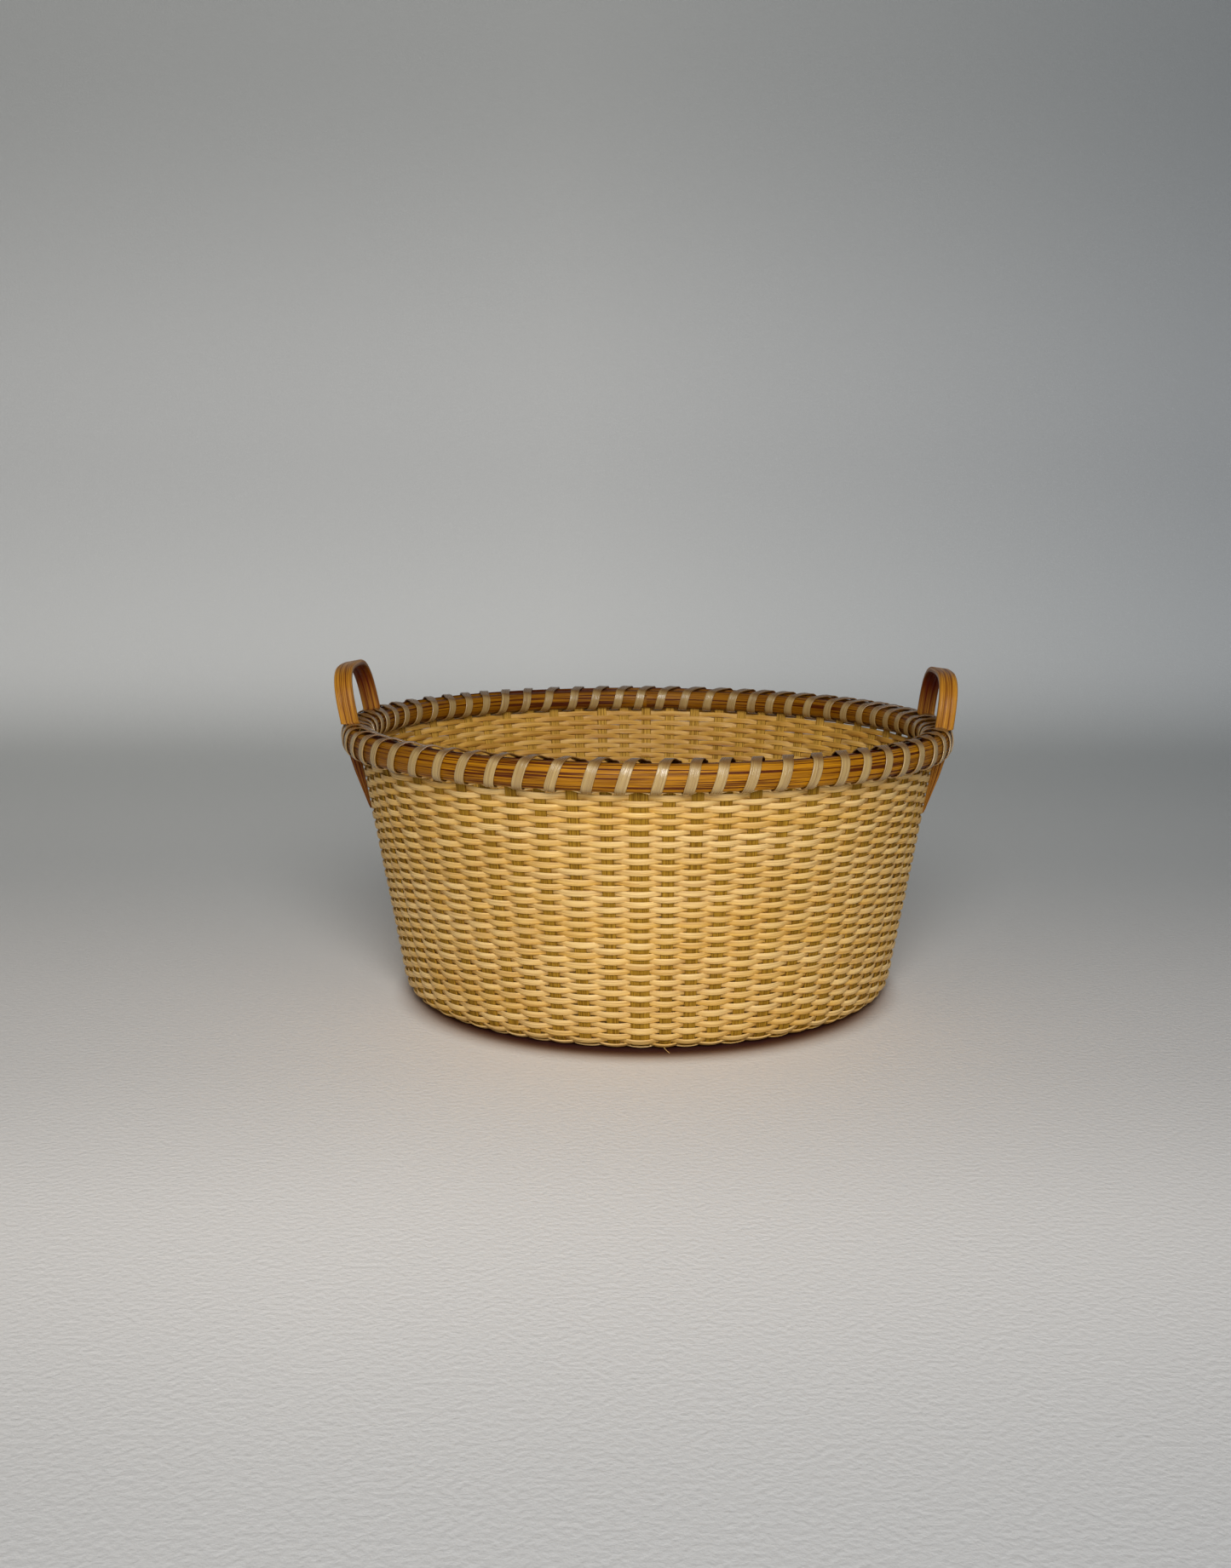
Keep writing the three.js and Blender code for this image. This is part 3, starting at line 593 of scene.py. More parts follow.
class BASKET_OT_weave_base(bpy.types.Operator):
    """Weaves the strand of the base, first over the whole ends and then over the uprights"""

    bl_idname = "basket.weave_base"
    bl_label = "Weave the base"

    def execute(self, context):
        basket = context.scene.basket
        weave = basket.weave
        profile = Profile(weave, basket.rim)
        inside = profile.length_at_radius(35.5 * MM)
        # the strand stops a row short of the fork, where it goes on over the uprights
        turns = (profile.fork - inside - 2.6 * MM) / weave.hub_pitch

        def hub_rows(x, angle):
            """Length along the middle line inside the fork."""
            return inside + weave.hub_pitch * x / ENDS

        def base_rows(x, angle):
            """Length along the middle line outside the fork."""
            return row_place(weave, profile, x / UPRIGHTS)

        rows = seam_row(weave, profile)
        sweeps = [
            weaver(weave, profile, (0, ENDS * turns), end_azimuth, hub_rows, 6, oval(8, 3.2), 0),
            weaver(weave, profile, (0, UPRIGHTS * rows), upright_azimuth, base_rows, 5, oval(8, 3.2), 20),
        ]
        # a loose fibre sticks out of the lowest row at the front
        share = np.linspace(0, 1, 9)
        azimuth = radians(3.7) + radians(1.0) * share ** 1.5
        fibre = at(azimuth, (118.4 + 7 * share) * MM, (1.1 - 0.8 * share + 0.5 * share * (1 - share)) * MM)
        sweeps.append(strip(fibre, np.broadcast_to((0.0, 0.0, 1.0), fibre.shape), 0.35 * MM,
                            (0.3 - 0.15 * share) * MM, oval(6, 2), 0.8))
        place_piece("base_weaver", sweeps, weaver_material(basket.finish), ["base_weaving"])
        return {"FINISHED"}


def row_place(weave, profile, rows):
    """Length along the middle line where a row runs. Rows lie closer half way up the wall."""
    even = profile.fork + weave.row_pitch * (0.12 + rows)
    share = np.clip((even - profile.edge) / (profile.top - profile.edge), 0, 1)
    return even + 1.1 * MM * np.sin(2 * pi * share)


def seam_row(weave, profile):
    """Rows from the fork to the edge of the base."""
    return int((profile.edge - profile.fork) / weave.row_pitch)


class BASKET_OT_weave_wall(bpy.types.Operator):
    """Weaves the strand of the wall in three lengths, round the corner and up to the rim"""

    bl_idname = "basket.weave_wall"
    bl_label = "Weave the wall"

    def execute(self, context):
        basket = context.scene.basket
        weave = basket.weave
        profile = Profile(weave, basket.rim)
        material = weaver_material(basket.finish)

        def wall_rows(x, angle):
            """Length along the middle line, with waves that fade at the foot and at the rim."""
            middle = row_place(weave, profile, x / UPRIGHTS)
            share = np.clip((middle - profile.edge) / (60 * MM), 0, 1)
            fade = np.clip((profile.top - middle) / (20 * MM), 0, 1)
            # the end of the strand is pushed up under the inner hoop
            climb = 0.8 * MM * np.clip((x / UPRIGHTS - last) / 0.2 + 1.4, 0, 1)
            return middle + row_waves(angle, share * fade) + climb

        first = seam_row(weave, profile)
        last = (profile.top - profile.fork) / weave.row_pitch - 0.37
        marks = np.round(np.linspace(first, last, 4)) * UPRIGHTS
        marks[-1] = last * UPRIGHTS
        for i, mark in enumerate(marks[:-1]):
            sweep = weaver(weave, profile, (mark, marks[i + 1]), upright_azimuth, wall_rows, 8,
                           CROWNED, 60)
            place_piece(f"wall_weaver_{i + 1}", [sweep], material, ["wall_weaving"])
        return {"FINISHED"}


# Rim

def hoop_section(flat, thickness, top, depth):
    """Radii and heights of a half oval hoop, flat on the side of the uprights."""
    turns = np.linspace(0, pi, 15)
    bulge = np.sin(turns).clip(0) ** 0.7
    oval_side = np.stack((flat + thickness * bulge, top - depth / 2 * (1 + np.cos(turns))), axis=-1)
    heights = np.linspace(top - 0.8 * MM, top - depth + 0.8 * MM, 4)
    flat_side = np.stack((np.full(4, flat), heights), axis=-1)
    section = np.concatenate((oval_side, flat_side))
    return section if thickness > 0 else section[::-1]


def hoop_sections(rim, profile):
    """Sections of the outer hoop and of the inner one, which bulges inward."""
    flat = RIM_RADIUS - rim.outer_thickness
    outer = hoop_section(flat, rim.outer_thickness, RIM_HEIGHT, rim.outer_depth)
    flat = profile.upright_radius - 0.75 * MM
    inner = hoop_section(flat, -rim.inner_thickness, RIM_HEIGHT - rim.inner_drop, rim.inner_depth)
    return outer, inner


def hoop(section, seed, wear_and_shade, stain, groove):
    """A hoop swept round the basket, a little uneven as shaved wood is. It is stained at the front
    left, and painted dark as shade up to a distance from the groove between the hoops."""
    count = 4 * UPRIGHTS
    turns = pi + np.arange(count) * 2 * pi / count
    middle = section.mean(axis=0)
    places = np.arange(count) / count
    grow = 1 + 0.02 * np.cos(2 * pi * (places * 7 + seed)) * np.cos(2 * pi * places * 3 + seed)
    sizes = (section - middle)[None] * np.stack((np.ones(count), grow), axis=-1)[:, None] + middle
    past_stain = turns - 2 * pi + radians(58)
    tone = wear_and_shade + stain * np.exp(-((past_stain / radians(26)) ** 2))
    # painted shade, darkest at the corner by the groove between the hoops
    corner = section[np.argmax(section[:, 1])]
    hoop_groove_shade = np.clip(1.3 - np.hypot(*(section - corner).T) / groove, 0, 1)
    tone = np.maximum(tone[:, None], hoop_groove_shade)
    return swept(at(turns[:, None], sizes[..., 0], sizes[..., 1]), tone, loop=True)


class BASKET_OT_bend_hoops(bpy.types.Operator):
    """Bends the two hoops of the rim and the last row that lies between them"""

    bl_idname = "basket.bend_hoops"
    bl_label = "Bend the hoops"

    def execute(self, context):
        basket = context.scene.basket
        rim, finish = basket.rim, basket.finish
        profile = Profile(basket.weave, rim)
        # Steam-bent oak hoops, oiled: golden brown with open pores, drawn out along the grain as
        # thin dark lines of one or two centimetres. The dark colour also paints the shade by the groove
        colours = (finish.hoop_light, finish.hoop_dark, finish.hoop_dark)
        material = split_wood("oiled_bent_oak_hoop", colours, fibre=(25 * MM, 0.5 * MM),
                              figure=(110 * MM, 3.5 * MM), streak=(90 * MM, 1.0 * MM),
                              depths=(0.3, 0.4, 0.95), roughness=0.42, gloss=0.2,
                              relief=0.12 * MM)
        outer, inner = hoop_sections(rim, profile)
        outer = hoop(outer, seed=0.0, wear_and_shade=0.05, stain=0.35, groove=0.9 * MM)
        inner = hoop(inner, seed=0.4, wear_and_shade=0.35, stain=0.15, groove=3 * MM)
        place_piece("outer_hoop", [outer], material, ["outer_rim"])
        place_piece("inner_hoop", [inner], material, ["inner_rim"])
        # The last row is flat and leans its lower edge on the outer hoop, except where a handle's
        # leg stands. This edge shows under the hoop as pale dashes between uprights
        x = np.linspace(0.5, UPRIGHTS + 0.5, 8 * UPRIGHTS + 1)[:-1]
        turns = upright_azimuth(x)
        front = np.clip(8 * np.cos(turns) + 0.5, 0, 1)
        wave = 0.65 * np.cos(2 * pi * x) * front - 0.7 * (1 - front)
        height = RIM_HEIGHT + (wave - 9.2) * MM
        away = turns[:, None] - np.array(leg_azimuths(basket.handles, profile)) + pi
        away = np.abs(away % (2 * pi) - pi).min(axis=1)
        beside = np.exp(-((away / radians(3)) ** 4))
        radius = profile.upright_radius + (2.75 - 1.2 * beside) * MM
        lean = radians(21) * (1 - beside)
        # the outer face takes the pale crest colour, as the row's own pale wood and as painted light on
        # the dashes under the hoop; the inner face is painted dark as shade in the gap between the hoops
        shade = np.broadcast_to(np.where(FLAT[:, 1] < 0, -0.6, 1), (len(x), len(FLAT)))
        row = strip(at(turns, radius, height), at(turns, np.cos(lean), np.sin(lean)),
                    8.4 * MM, 0.8 * MM, FLAT, shade, loop=True)
        place_piece("last_row", [row], weaver_material(finish), ["rim_row"])
        return {"FINISHED"}


def leg_azimuths(handles, profile):
    """Azimuths of the four handle legs."""
    half = atan2(handles.spread / 2, profile.upright_radius)
    return [handle + side * half for handle in handle_azimuths() for side in (-1, 1)]


def handle_azimuths():
    """Azimuths of the middles of the left and of the right handle."""
    return [FRONT - SPOKES * STEP, FRONT + SPOKES * STEP + radians(0.9)]


def clear_of(azimuth, places, room):
    """The azimuth, moved to the nearer side of a place that it is too close to."""
    for place in places:
        away = (azimuth - place + pi) % (2 * pi) - pi
        if abs(away) < room:
            return azimuth - away + (room if away > 0 else -room)
    return azimuth


def pulled_tight(points, distance, count):
    """Closed outline of a strip pulled tight round points, by even lengths, from its lowest place."""
    turns = np.linspace(-pi / 2, 3 * pi / 2, 1441)
    directions = np.stack((np.cos(turns), np.sin(turns)), axis=-1)
    corners = points[np.argmax(directions @ points.T, axis=1)]
    outline = corners + directions * distance
    steps = np.linalg.norm(np.diff(outline, axis=0), axis=1)
    travelled = np.concatenate(([0], np.cumsum(steps)))
    even = np.linspace(0, travelled[-1], count + 1)
    places = np.stack([np.interp(even, travelled, outline[:, axis]) for axis in (0, 1)], axis=-1)
    facing = np.stack([np.interp(even, travelled, directions[:, axis]) for axis in (0, 1)], axis=-1)
    return places, facing, even / travelled[-1]


class BASKET_OT_wind_lashing(bpy.types.Operator):
    """Winds the lashing strip round both hoops, one turn in each gap between uprights"""

    bl_idname = "basket.wind_lashing"
    bl_label = "Wind the lashing"

    def execute(self, context):
        basket = context.scene.basket
        rim, finish = basket.rim, basket.finish
        profile = Profile(basket.weave, rim)
        gap = 0.35 * MM + rim.strip_thickness / 2
        hoops = np.concatenate(hoop_sections(rim, profile))
        places, facing, share = pulled_tight(hoops, gap, 40)
        # the stiff strip arches a little where it crosses from hoop to hoop, most at the front
        over = np.exp(-(((places[:, 0] - profile.upright_radius - 2 * MM) / (2.8 * MM)) ** 2))
        over = over * (places[:, 1] > RIM_HEIGHT - 3 * MM)
        # painted shade: it is browner where it faces up and where it faces down, a little where it
        # faces inward, and darkest on its back against the hoops
        sides = np.clip(np.stack((facing[:, 1], -facing[:, 0], -facing[:, 1])) * 2.5 - 1, 0, 1)
        shade = np.max(sides * np.array([[0.75], [0.05], [0.5]]), axis=0)
        shade = np.maximum(shade[:-1, None], FLAT[:, 1] < 0)
        # a turn that would meet a leg of a handle is moved beside it
        legs = leg_azimuths(basket.handles, profile)
        room = radians(0.55) + (0.5 * MM + rim.strip_width / 2) / profile.upright_radius
        rng = np.random.default_rng(SEED)
        gaps = [self.between(basket.weave, profile, k) for k in range(UPRIGHTS + 1)]
        gaps = [clear_of(gap + radians(rng.uniform(-0.35, 0.35)), legs, room) for gap in gaps]
        gaps[-1] = gaps[0] + 2 * pi
        # the strip leans from the lower bulge of the outer hoop to the bottom of the inner one
        bends, leads = [0.06, 0.38, 0.56, 0.88], [0, 0.32, 0.72, 1]
        # Cane lashing, the glossy outer skin of rattan: silvery beige, fine parallel fibres, satin.
        # Its dark colour also paints the strip's shade on top, below and on its back
        colours = (finish.strip_light, finish.strip_dark, finish.strip_dark)
        material = split_wood("glossy_cane_lashing", colours, fibre=(40 * MM, 0.42 * MM),
                              figure=(70 * MM, 1.8 * MM), streak=(50 * MM, 0.6 * MM),
                              depths=(0.2, 0.25, 0.25), roughness=0.24, gloss=0.7, relief=0.06 * MM)
        first = 0
        for i in range(rim.lashings):
            turns = (UPRIGHTS + rim.lashings - 1 - i) // rim.lashings
            centres, outward = [], []
            for k in range(first, first + turns):
                low, high = gaps[k], gaps[k + 1]
                turn = [clear_of(low + (high - low) * lead, legs, room) for lead in leads]
                azimuth = self.eased(np.interp(share, bends, turn), low, high)
                lift = (0.8 + 0.5 * np.cos(azimuth)) * MM * over
                centres.append(at(azimuth, places[:, 0], places[:, 1] + lift)[:-1])
                outward.append(at(azimuth, facing[:, 0], facing[:, 1])[:-1])
            sweep = strip(np.concatenate(centres), np.concatenate(outward), rim.strip_width,
                          rim.strip_thickness, FLAT, np.tile(shade, (turns, 1)), 7 * i)
            place_piece(f"lashing_strip_{i + 1}", [sweep], material, [f"lashing_{i + 1}"])
            first += turns
        return {"FINISHED"}

    @staticmethod
    def between(weave, profile, k):
        """Azimuth of the middle of the gap after upright k."""
        widths = [weave.odd_width if upright % UPRIGHTS == 0 else weave.upright_width
                  for upright in (k, k + 1)]
        shift = (widths[0] - widths[1]) / 4 / profile.upright_radius
        return float(upright_azimuth(k) + upright_azimuth(k + 1)) / 2 + shift

    @staticmethod
    def eased(azimuth, low, high):
        """The same azimuths with a soft start and finish of the lean."""
        kernel = np.ones(5) / 5
        padded = np.concatenate((np.full(2, low), azimuth, np.full(2, high)))
        return np.convolve(padded, kernel, mode="valid")


# Handles

def strap_outline():
    """Outline of the strap: two grooves along each broad face and rounded edges."""
    across = np.array([0.995, 0.95, 0.85, 0.6, 0.44, 0.38, 0.33, 0.28, 0.22, 0.1, 0])
    across = np.concatenate((across, -across[-2::-1]))
    edge = np.sqrt(np.clip(1 - np.clip((np.abs(across) - 0.8) / 0.2, 0, 1) ** 2, 0, 1))
    groove = 0.17 * np.exp(-(((np.abs(across) - 0.33) / 0.06) ** 2))
    through = 0.35 + 0.65 * edge - groove
    upper = np.stack((across, through), axis=-1)
    return np.concatenate((upper, (upper * (1, -1))[::-1]))


class BASKET_OT_bend_handles(bpy.types.Operator):
    """Bends the two ear handles, notched for the outer hoop, with their tails outside the wall"""

    bl_idname = "basket.bend_handles"
    bl_label = "Bend the handles"

    def execute(self, context):
        basket = context.scene.basket
        finish = basket.finish
        # Steam-bent and oiled handles: golden outside, with dark grooves and a red-brown inside of the
        # bend, both painted shade
        colours = (finish.handle_light, finish.handle_dark, finish.handle_dark)
        material = split_wood("oiled_bent_handle", colours, fibre=(25 * MM, 0.5 * MM),
                              figure=(70 * MM, 2.2 * MM), streak=(35 * MM, 0.6 * MM),
                              depths=(0.3, 0.3, 0.6), roughness=0.36, gloss=0.22, relief=0.1 * MM)
        handles = basket.handles
        sides = (
            ("left", handles.left_lean, handles.left_rise, -handles.twist, 0.6),
            ("right", handles.right_lean, handles.right_rise, handles.twist, 0.12),
        )
        for azimuth, (side, lean, rise, twist, tail_shade) in zip(handle_azimuths(), sides):
            rings, wear_and_shade = self.strap(basket, lean, rise, twist, tail_shade)
            if side == "right":
                wear_and_shade = np.clip(wear_and_shade + 0.1, 0, 1)
            turn = np.array(Matrix.Rotation(azimuth - pi / 2, 3, "Z"))
            sweep = swept(rings @ turn.T, wear_and_shade, start=3 if side == "left" else 5)
            place_piece(f"bent_handle_{side}", [sweep], material, [f"handle_{side}"], 75)
        return {"FINISHED"}

    @staticmethod
    def strap(basket, lean, rise, twist, tail_shade):
        """Rings of points along the whole strap, standing on +X, and how dark each is."""
        handles, rim, weave = basket.handles, basket.rim, basket.weave
        profile = Profile(weave, rim)
        outline = strap_outline()
        half, thick = handles.width / 2, handles.thickness / 2
        base = RIM_HEIGHT + 0.3 * MM
        strap_middle = RIM_RADIUS - 7.3 * MM
        near, far = handles.spread / 2 - thick, handles.spread / 2 + thick
        row_outside = RIM_RADIUS - rim.outer_thickness - 3.2 * MM
        hoop_bottom = profile.wall_top
        tip = hoop_bottom - handles.tail

        def wall(height, side):
            """Reach to the crests of the wall's strand, where the tail presses in a little."""
            crest = (weave.bulge + weave.weaver_thickness / 2) / cos(profile.slope)
            radius = profile.place(profile.length_at_height(height))[0] + crest
            return np.sqrt((radius - 0.3 * MM) ** 2 - side ** 2)

        # from the tip of the tail up to the shoulder over the notch
        heights = np.concatenate((np.linspace(tip, hoop_bottom - 0.2 * MM, 16),
                                  [hoop_bottom, hoop_bottom + 0.1 * MM, base - 0.1 * MM, base]))
        proud = np.interp(heights, hoop_bottom + np.array([-28, -26.3, -19, -10, 0]) * MM,
                          np.array([0.6, 1.1, 2.6, 4.5, 5.8]) * MM)
        sides = handles.spread / 2 + outline[:, 1] * thick
        inside = wall(heights[:, None], sides)
        outside = wall(heights, handles.spread / 2) + proud
        neck_inside = sqrt((row_outside + 0.35 * MM) ** 2 - near ** 2)
        neck_outside = sqrt((RIM_RADIUS - rim.outer_thickness - 0.3 * MM) ** 2 - far ** 2)
        inside[-3:-1], outside[-3:-1] = neck_inside, neck_outside
        inside[-1], outside[-1] = strap_middle - half / cos(lean), strap_middle + half / cos(lean)
        # the arch, in its own leaning plane
        turns = np.linspace(0, pi, 1201)
        power = 2 / 3.2
        side = handles.spread / 2 * np.sign(np.cos(turns)) * np.abs(np.cos(turns)) ** power
        up = (rise - thick) * np.sin(turns).clip(0) ** power
        travelled = np.concatenate(([0], np.cumsum(np.hypot(np.diff(side), np.diff(up)))))
        even = np.linspace(0.8 * MM, travelled[-1] - 0.8 * MM, 70)
        side, up = np.interp(even, travelled, side), np.interp(even, travelled, up)
        ahead = np.stack((np.gradient(side), np.gradient(up)), axis=-1)
        ahead /= np.linalg.norm(ahead, axis=1, keepdims=True)
        out = np.stack((ahead[:, 1], -ahead[:, 0]), axis=-1)
        tall = np.array((tan(lean), 0, 1)) * cos(lean)
        broad = np.array((cos(lean), 0, -sin(lean)))
        foot = np.array((strap_middle, 0, base))
        centres = side[:, None] * (0, 1, 0) + up[:, None] * tall
        outs = out[:, :1] * (0, 1, 0) + out[:, 1:] * tall
        arch = (centres[:, None] - broad * (outline[:, :1] * half)[None]
                + outs[:, None] * (outline[:, 1:] * thick)[None])
        arch = foot + arch @ np.array(Matrix.Rotation(twist, 3, "Z")).T
        legs = []
        for sign in (1, -1):
            rows = np.stack((
                inside + (outside[:, None] - inside) * (1 - outline[:, 0]) / 2,
                np.broadcast_to(sign * sides, inside.shape),
                np.broadcast_to(heights[:, None], inside.shape),
            ), axis=-1)
            legs.append(rows)
        rings = np.concatenate((legs[0], arch, legs[1][::-1]))
        # painted shade inside the bend, darkest high in the arch, and in the grooves; one pair of
        # tails is darker too
        inner_face = np.clip(-outline[:, 1], 0, 1) * 0.85
        grooves = 0.8 * np.exp(-(((np.abs(outline[:, 0]) - 0.33) / 0.06) ** 2))
        bent = 0.35 + 0.65 * np.clip((up / rise - 0.12) / 0.5, 0, 1)
        tails = np.full((len(heights), len(outline)), tail_shade)
        wear_and_shade = np.concatenate((tails, bent[:, None] * inner_face, tails)) + grooves
        wear_and_shade = np.clip(wear_and_shade, 0, 1)
        return rings, wear_and_shade


# Stage

class BASKET_OT_set_stage(bpy.types.Operator):
    """Lays a pale sheet that sweeps up behind the basket, and sets the lights and the camera"""

    bl_idname = "basket.set_stage"
    bl_label = "Set the stage"

    def execute(self, context):
        scene = context.scene
        scene.view_settings.view_transform = "Standard"
        self.lay_sheet(self.vinyl(scene.basket.finish))
        self.hang_lights(scene)
        self.place_camera(scene)
        return {"FINISHED"}

    @staticmethod
    def lay_sheet(material):
        """A wide sheet, flat under the basket and curved up into a wall behind it."""
        turns = np.linspace(0, pi / 2, 33)
        bend = 0.45
        depth = np.concatenate(([-3.0, -1.0], 0.75 + bend * np.sin(turns), [1.2]))
        height = np.concatenate(([0.0, 0.0], bend * (1 - np.cos(turns)), [3.0]))
        points = [(x, y, z) for y, z in zip(depth, height) for x in (-4.0, 4.0)]
        faces = [(2 * i, 2 * i + 1, 2 * i + 3, 2 * i + 2) for i in range(len(depth) - 1)]
        mesh = bpy.data.meshes.new("sheet")
        mesh.from_pydata(points, [], faces)
        travelled = np.concatenate(([0], np.cumsum(np.hypot(np.diff(depth), np.diff(height))))) + depth[0]
        unrolled = mesh.uv_layers.new(name="unrolled")
        for loop in mesh.loops:
            corner = loop.vertex_index
            unrolled.uv[loop.index].vector = (points[corner][0], travelled[corner // 2])
        mesh.shade_smooth()
        mesh.materials.append(material)
        sheet = bpy.data.objects.new("sheet", mesh)
        bpy.context.scene.collection.objects.link(sheet)

    @staticmethod
    def vinyl(finish):
        """Material of the sheet, with painted light and shade from near to far and a painted contact
        shadow at the foot.
        """
        material = bpy.data.materials.new("grained_vinyl_sheet")
        material.use_nodes = True
        tree = material.node_tree
        tree.nodes.clear()
        # Matt vinyl, embossed with a hide grain of about 2.4 mm, which is 420 to the metre: a faint
        # mottle and hardly any gloss
        place = add_node(tree, "ShaderNodeUVMap", uv_map="unrolled").outputs["UV"]
        grain = add_node(tree, "ShaderNodeTexNoise", {"Vector": place, "Scale": 420.0, "Detail": 3.0})
        across = add_node(tree, "ShaderNodeSeparateXYZ", {"Vector": place})
        tone = add_node(tree, "ShaderNodeValToRGB", {
            "Fac": add_node(tree, "ShaderNodeMapRange", {
                "Value": across.outputs["Y"], "From Min": -0.6, "From Max": 2.4,
            }).outputs["Result"],
        })
        # places from near to far, where 0 is 0.6 m before the basket's middle and 1 is 2.4 m behind.
        # The tones are painted light and shade: darker near the camera, in a band where the sheet starts
        # to bend, and high up
        stops = ((0.02, finish.floor_near), (0.11, finish.floor), (0.165, finish.floor),
                 (0.31, finish.floor_far), (0.457, finish.horizon), (0.54, finish.backdrop),
                 (0.64, finish.backdrop_high), (0.79, finish.backdrop_top))
        ramp = tone.color_ramp
        ramp.interpolation = "EASE"
        for stop in stops[1:-1]:
            ramp.elements.new(stop[0])
        for element, (place_on, shade) in zip(ramp.elements, stops):
            element.position = place_on
            element.color = shade
        # painted shade: the sheet darkens towards the right
        rightward = add_node(tree, "ShaderNodeMapRange", {
            "Value": across.outputs["X"], "From Min": -0.1, "From Max": 0.65,
        })
        sided = add_node(tree, "ShaderNodeMix", {
            0: rightward.outputs["Result"], 6: tone.outputs["Color"], 7: finish.right_side_shade,
        }, data_type="RGBA", blend_type="MULTIPLY")
        # painted contact shadow: a dark ring round the foot, wider at the front because the light
        # comes from the front and above
        moved = add_node(tree, "ShaderNodeVectorMath", {0: place, 1: (0, 0.012, 0)}, operation="ADD")
        radius = add_node(tree, "ShaderNodeVectorMath", {0: moved.outputs["Vector"]},
                          operation="LENGTH")
        shaded = sided
        for shade, near, far in ((finish.contact_shadow_edge, 0.109, 0.131), (finish.contact_shadow, 0.108, 0.121)):
            clear = add_node(tree, "ShaderNodeMapRange", {
                "Value": radius.outputs["Value"], "From Min": near, "From Max": far,
            }, interpolation_type="SMOOTHSTEP")
            shaded = add_node(tree, "ShaderNodeMix", {
                0: clear.outputs["Result"], 6: shade, 7: shaded.outputs[2],
            }, data_type="RGBA")
        bump = add_node(tree, "ShaderNodeBump", {"Height": grain.outputs["Fac"], "Distance": 0.4 * MM})
        # only what the camera and glossy faces see of the far sheet is lifted, and it lights nothing
        ray = add_node(tree, "ShaderNodeLightPath")
        seen = ray.outputs["Is Camera Ray"]
        for kind in ("Is Glossy Ray", "Is Transmission Ray"):
            seen = add_node(tree, "ShaderNodeMath", {0: seen, 1: ray.outputs[kind]},
                            operation="MAXIMUM").outputs[0]
        lift = add_node(tree, "ShaderNodeMapRange", {
            "Value": across.outputs["Y"], "From Min": -0.15, "From Max": 0.75, "To Max": finish.glow,
        })
        glow = add_node(tree, "ShaderNodeMath", {0: seen, 1: lift.outputs["Result"]},
                        operation="MULTIPLY")
        shader = add_node(tree, "ShaderNodeBsdfPrincipled", {
            "Base Color": shaded.outputs[2], "Roughness": 0.7, "Normal": bump.outputs["Normal"],
            "Emission Color": shaded.outputs[2], "Emission Strength": glow.outputs["Value"],
        })
        add_node(tree, "ShaderNodeOutputMaterial", {"Surface": shader.outputs["BSDF"]})
        return material

    @staticmethod
    def hang_lights(scene):
        """A broad soft light over the camera, a smaller one close to it, and an even sky."""
        world = bpy.data.worlds.new("studio")
        world.use_nodes = True
        background = world.node_tree.nodes["Background"]
        background.inputs["Color"].default_value = linear("#FAFAFA")
        background.inputs["Strength"].default_value = 0.1
        scene.world = world
        for name, place, size, power in (
            ("key", (0.06, -1.35, 0.85), 0.8, 13.5),
            ("front", (0.05, -1.0, 0.4), 0.5, 3.5),
        ):
            light = bpy.data.lights.new(name, "AREA")
            light.shape = "DISK"
            light.size = size
            light.energy = power
            lamp = bpy.data.objects.new(name, light)
            lamp.location = place
            aim = Vector((0, 0, 0.08)) - Vector(place)
            lamp.rotation_euler = aim.to_track_quat("-Z", "Y").to_euler()
            scene.collection.objects.link(lamp)

    @staticmethod
    def place_camera(scene):
        """The photograph's view: a little above the rim, looking slightly down."""
        camera = bpy.data.cameras.new("camera")
        camera.sensor_width = 36.0
        camera.lens = 39.42
        camera.clip_start = 0.01
        viewer = bpy.data.objects.new("camera", camera)
        turn = (
            Matrix.Translation((0, -0.8638, 0.2448))
            @ Matrix.Rotation(radians(1.05), 4, "Z")
            @ Matrix.Rotation(radians(90 - 9.4), 4, "X")
            @ Matrix.Rotation(radians(-0.195), 4, "Z")
        )
        viewer.matrix_world = turn
        scene.collection.objects.link(viewer)
        scene.camera = viewer


class BASKET_PT_workshop(bpy.types.Panel):
    """Sizes, finishes and pieces of the basket"""

    bl_idname = "BASKET_PT_workshop"
    bl_label = "Splint basket"
    bl_space_type = "VIEW_3D"
    bl_region_type = "UI"
    bl_category = "Basket"

    def draw(self, context):
        basket = context.scene.basket
        for group in (basket.weave, basket.rim, basket.handles, basket.finish):
            box = self.layout.box()
            for name in group.bl_rna.properties.keys():
                if name not in ("rna_type", "name"):
                    box.prop(group, name)
        for operator in OPERATORS:
            self.layout.operator(operator.bl_idname)


OPERATORS = (
    BASKET_OT_set_stage,
    BASKET_OT_split_splints,
    BASKET_OT_weave_base,
    BASKET_OT_weave_wall,
    BASKET_OT_bend_hoops,
    BASKET_OT_wind_lashing,
    BASKET_OT_bend_handles,
)
GROUPS = (BasketWeave, BasketRim, BasketHandles, BasketFinish, BasketSettings)


def register():
    for item in GROUPS + OPERATORS + (BASKET_PT_workshop,):
        bpy.utils.register_class(item)
    bpy.types.Scene.basket = PointerProperty(type=BasketSettings)


def unregister():
    del bpy.types.Scene.basket
    for item in reversed(GROUPS + OPERATORS + (BASKET_PT_workshop,)):
        bpy.utils.unregister_class(item)


def main():
    register()
    bpy.ops.basket.set_stage()
    bpy.ops.basket.split_splints()
    bpy.ops.basket.weave_base()
    bpy.ops.basket.weave_wall()
    bpy.ops.basket.bend_hoops()
    bpy.ops.basket.wind_lashing()
    bpy.ops.basket.bend_handles()


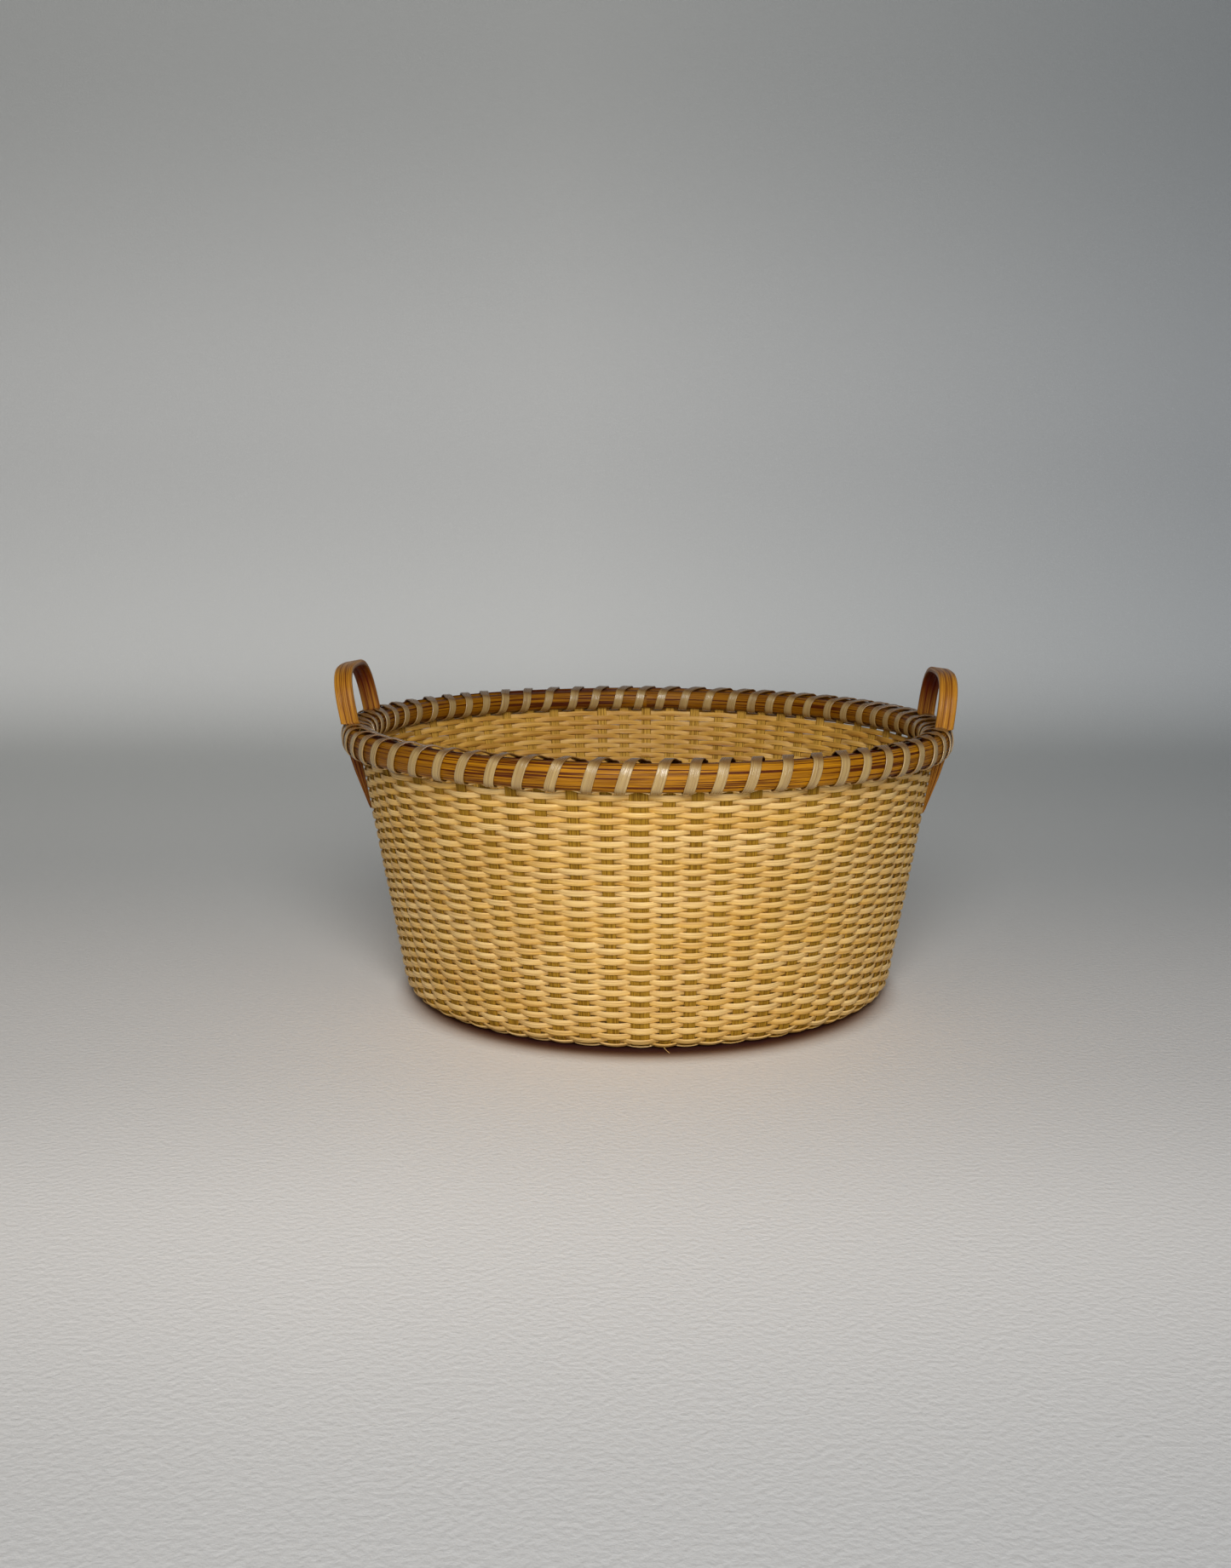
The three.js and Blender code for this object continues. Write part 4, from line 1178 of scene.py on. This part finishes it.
if __name__ == "__main__":
    main()
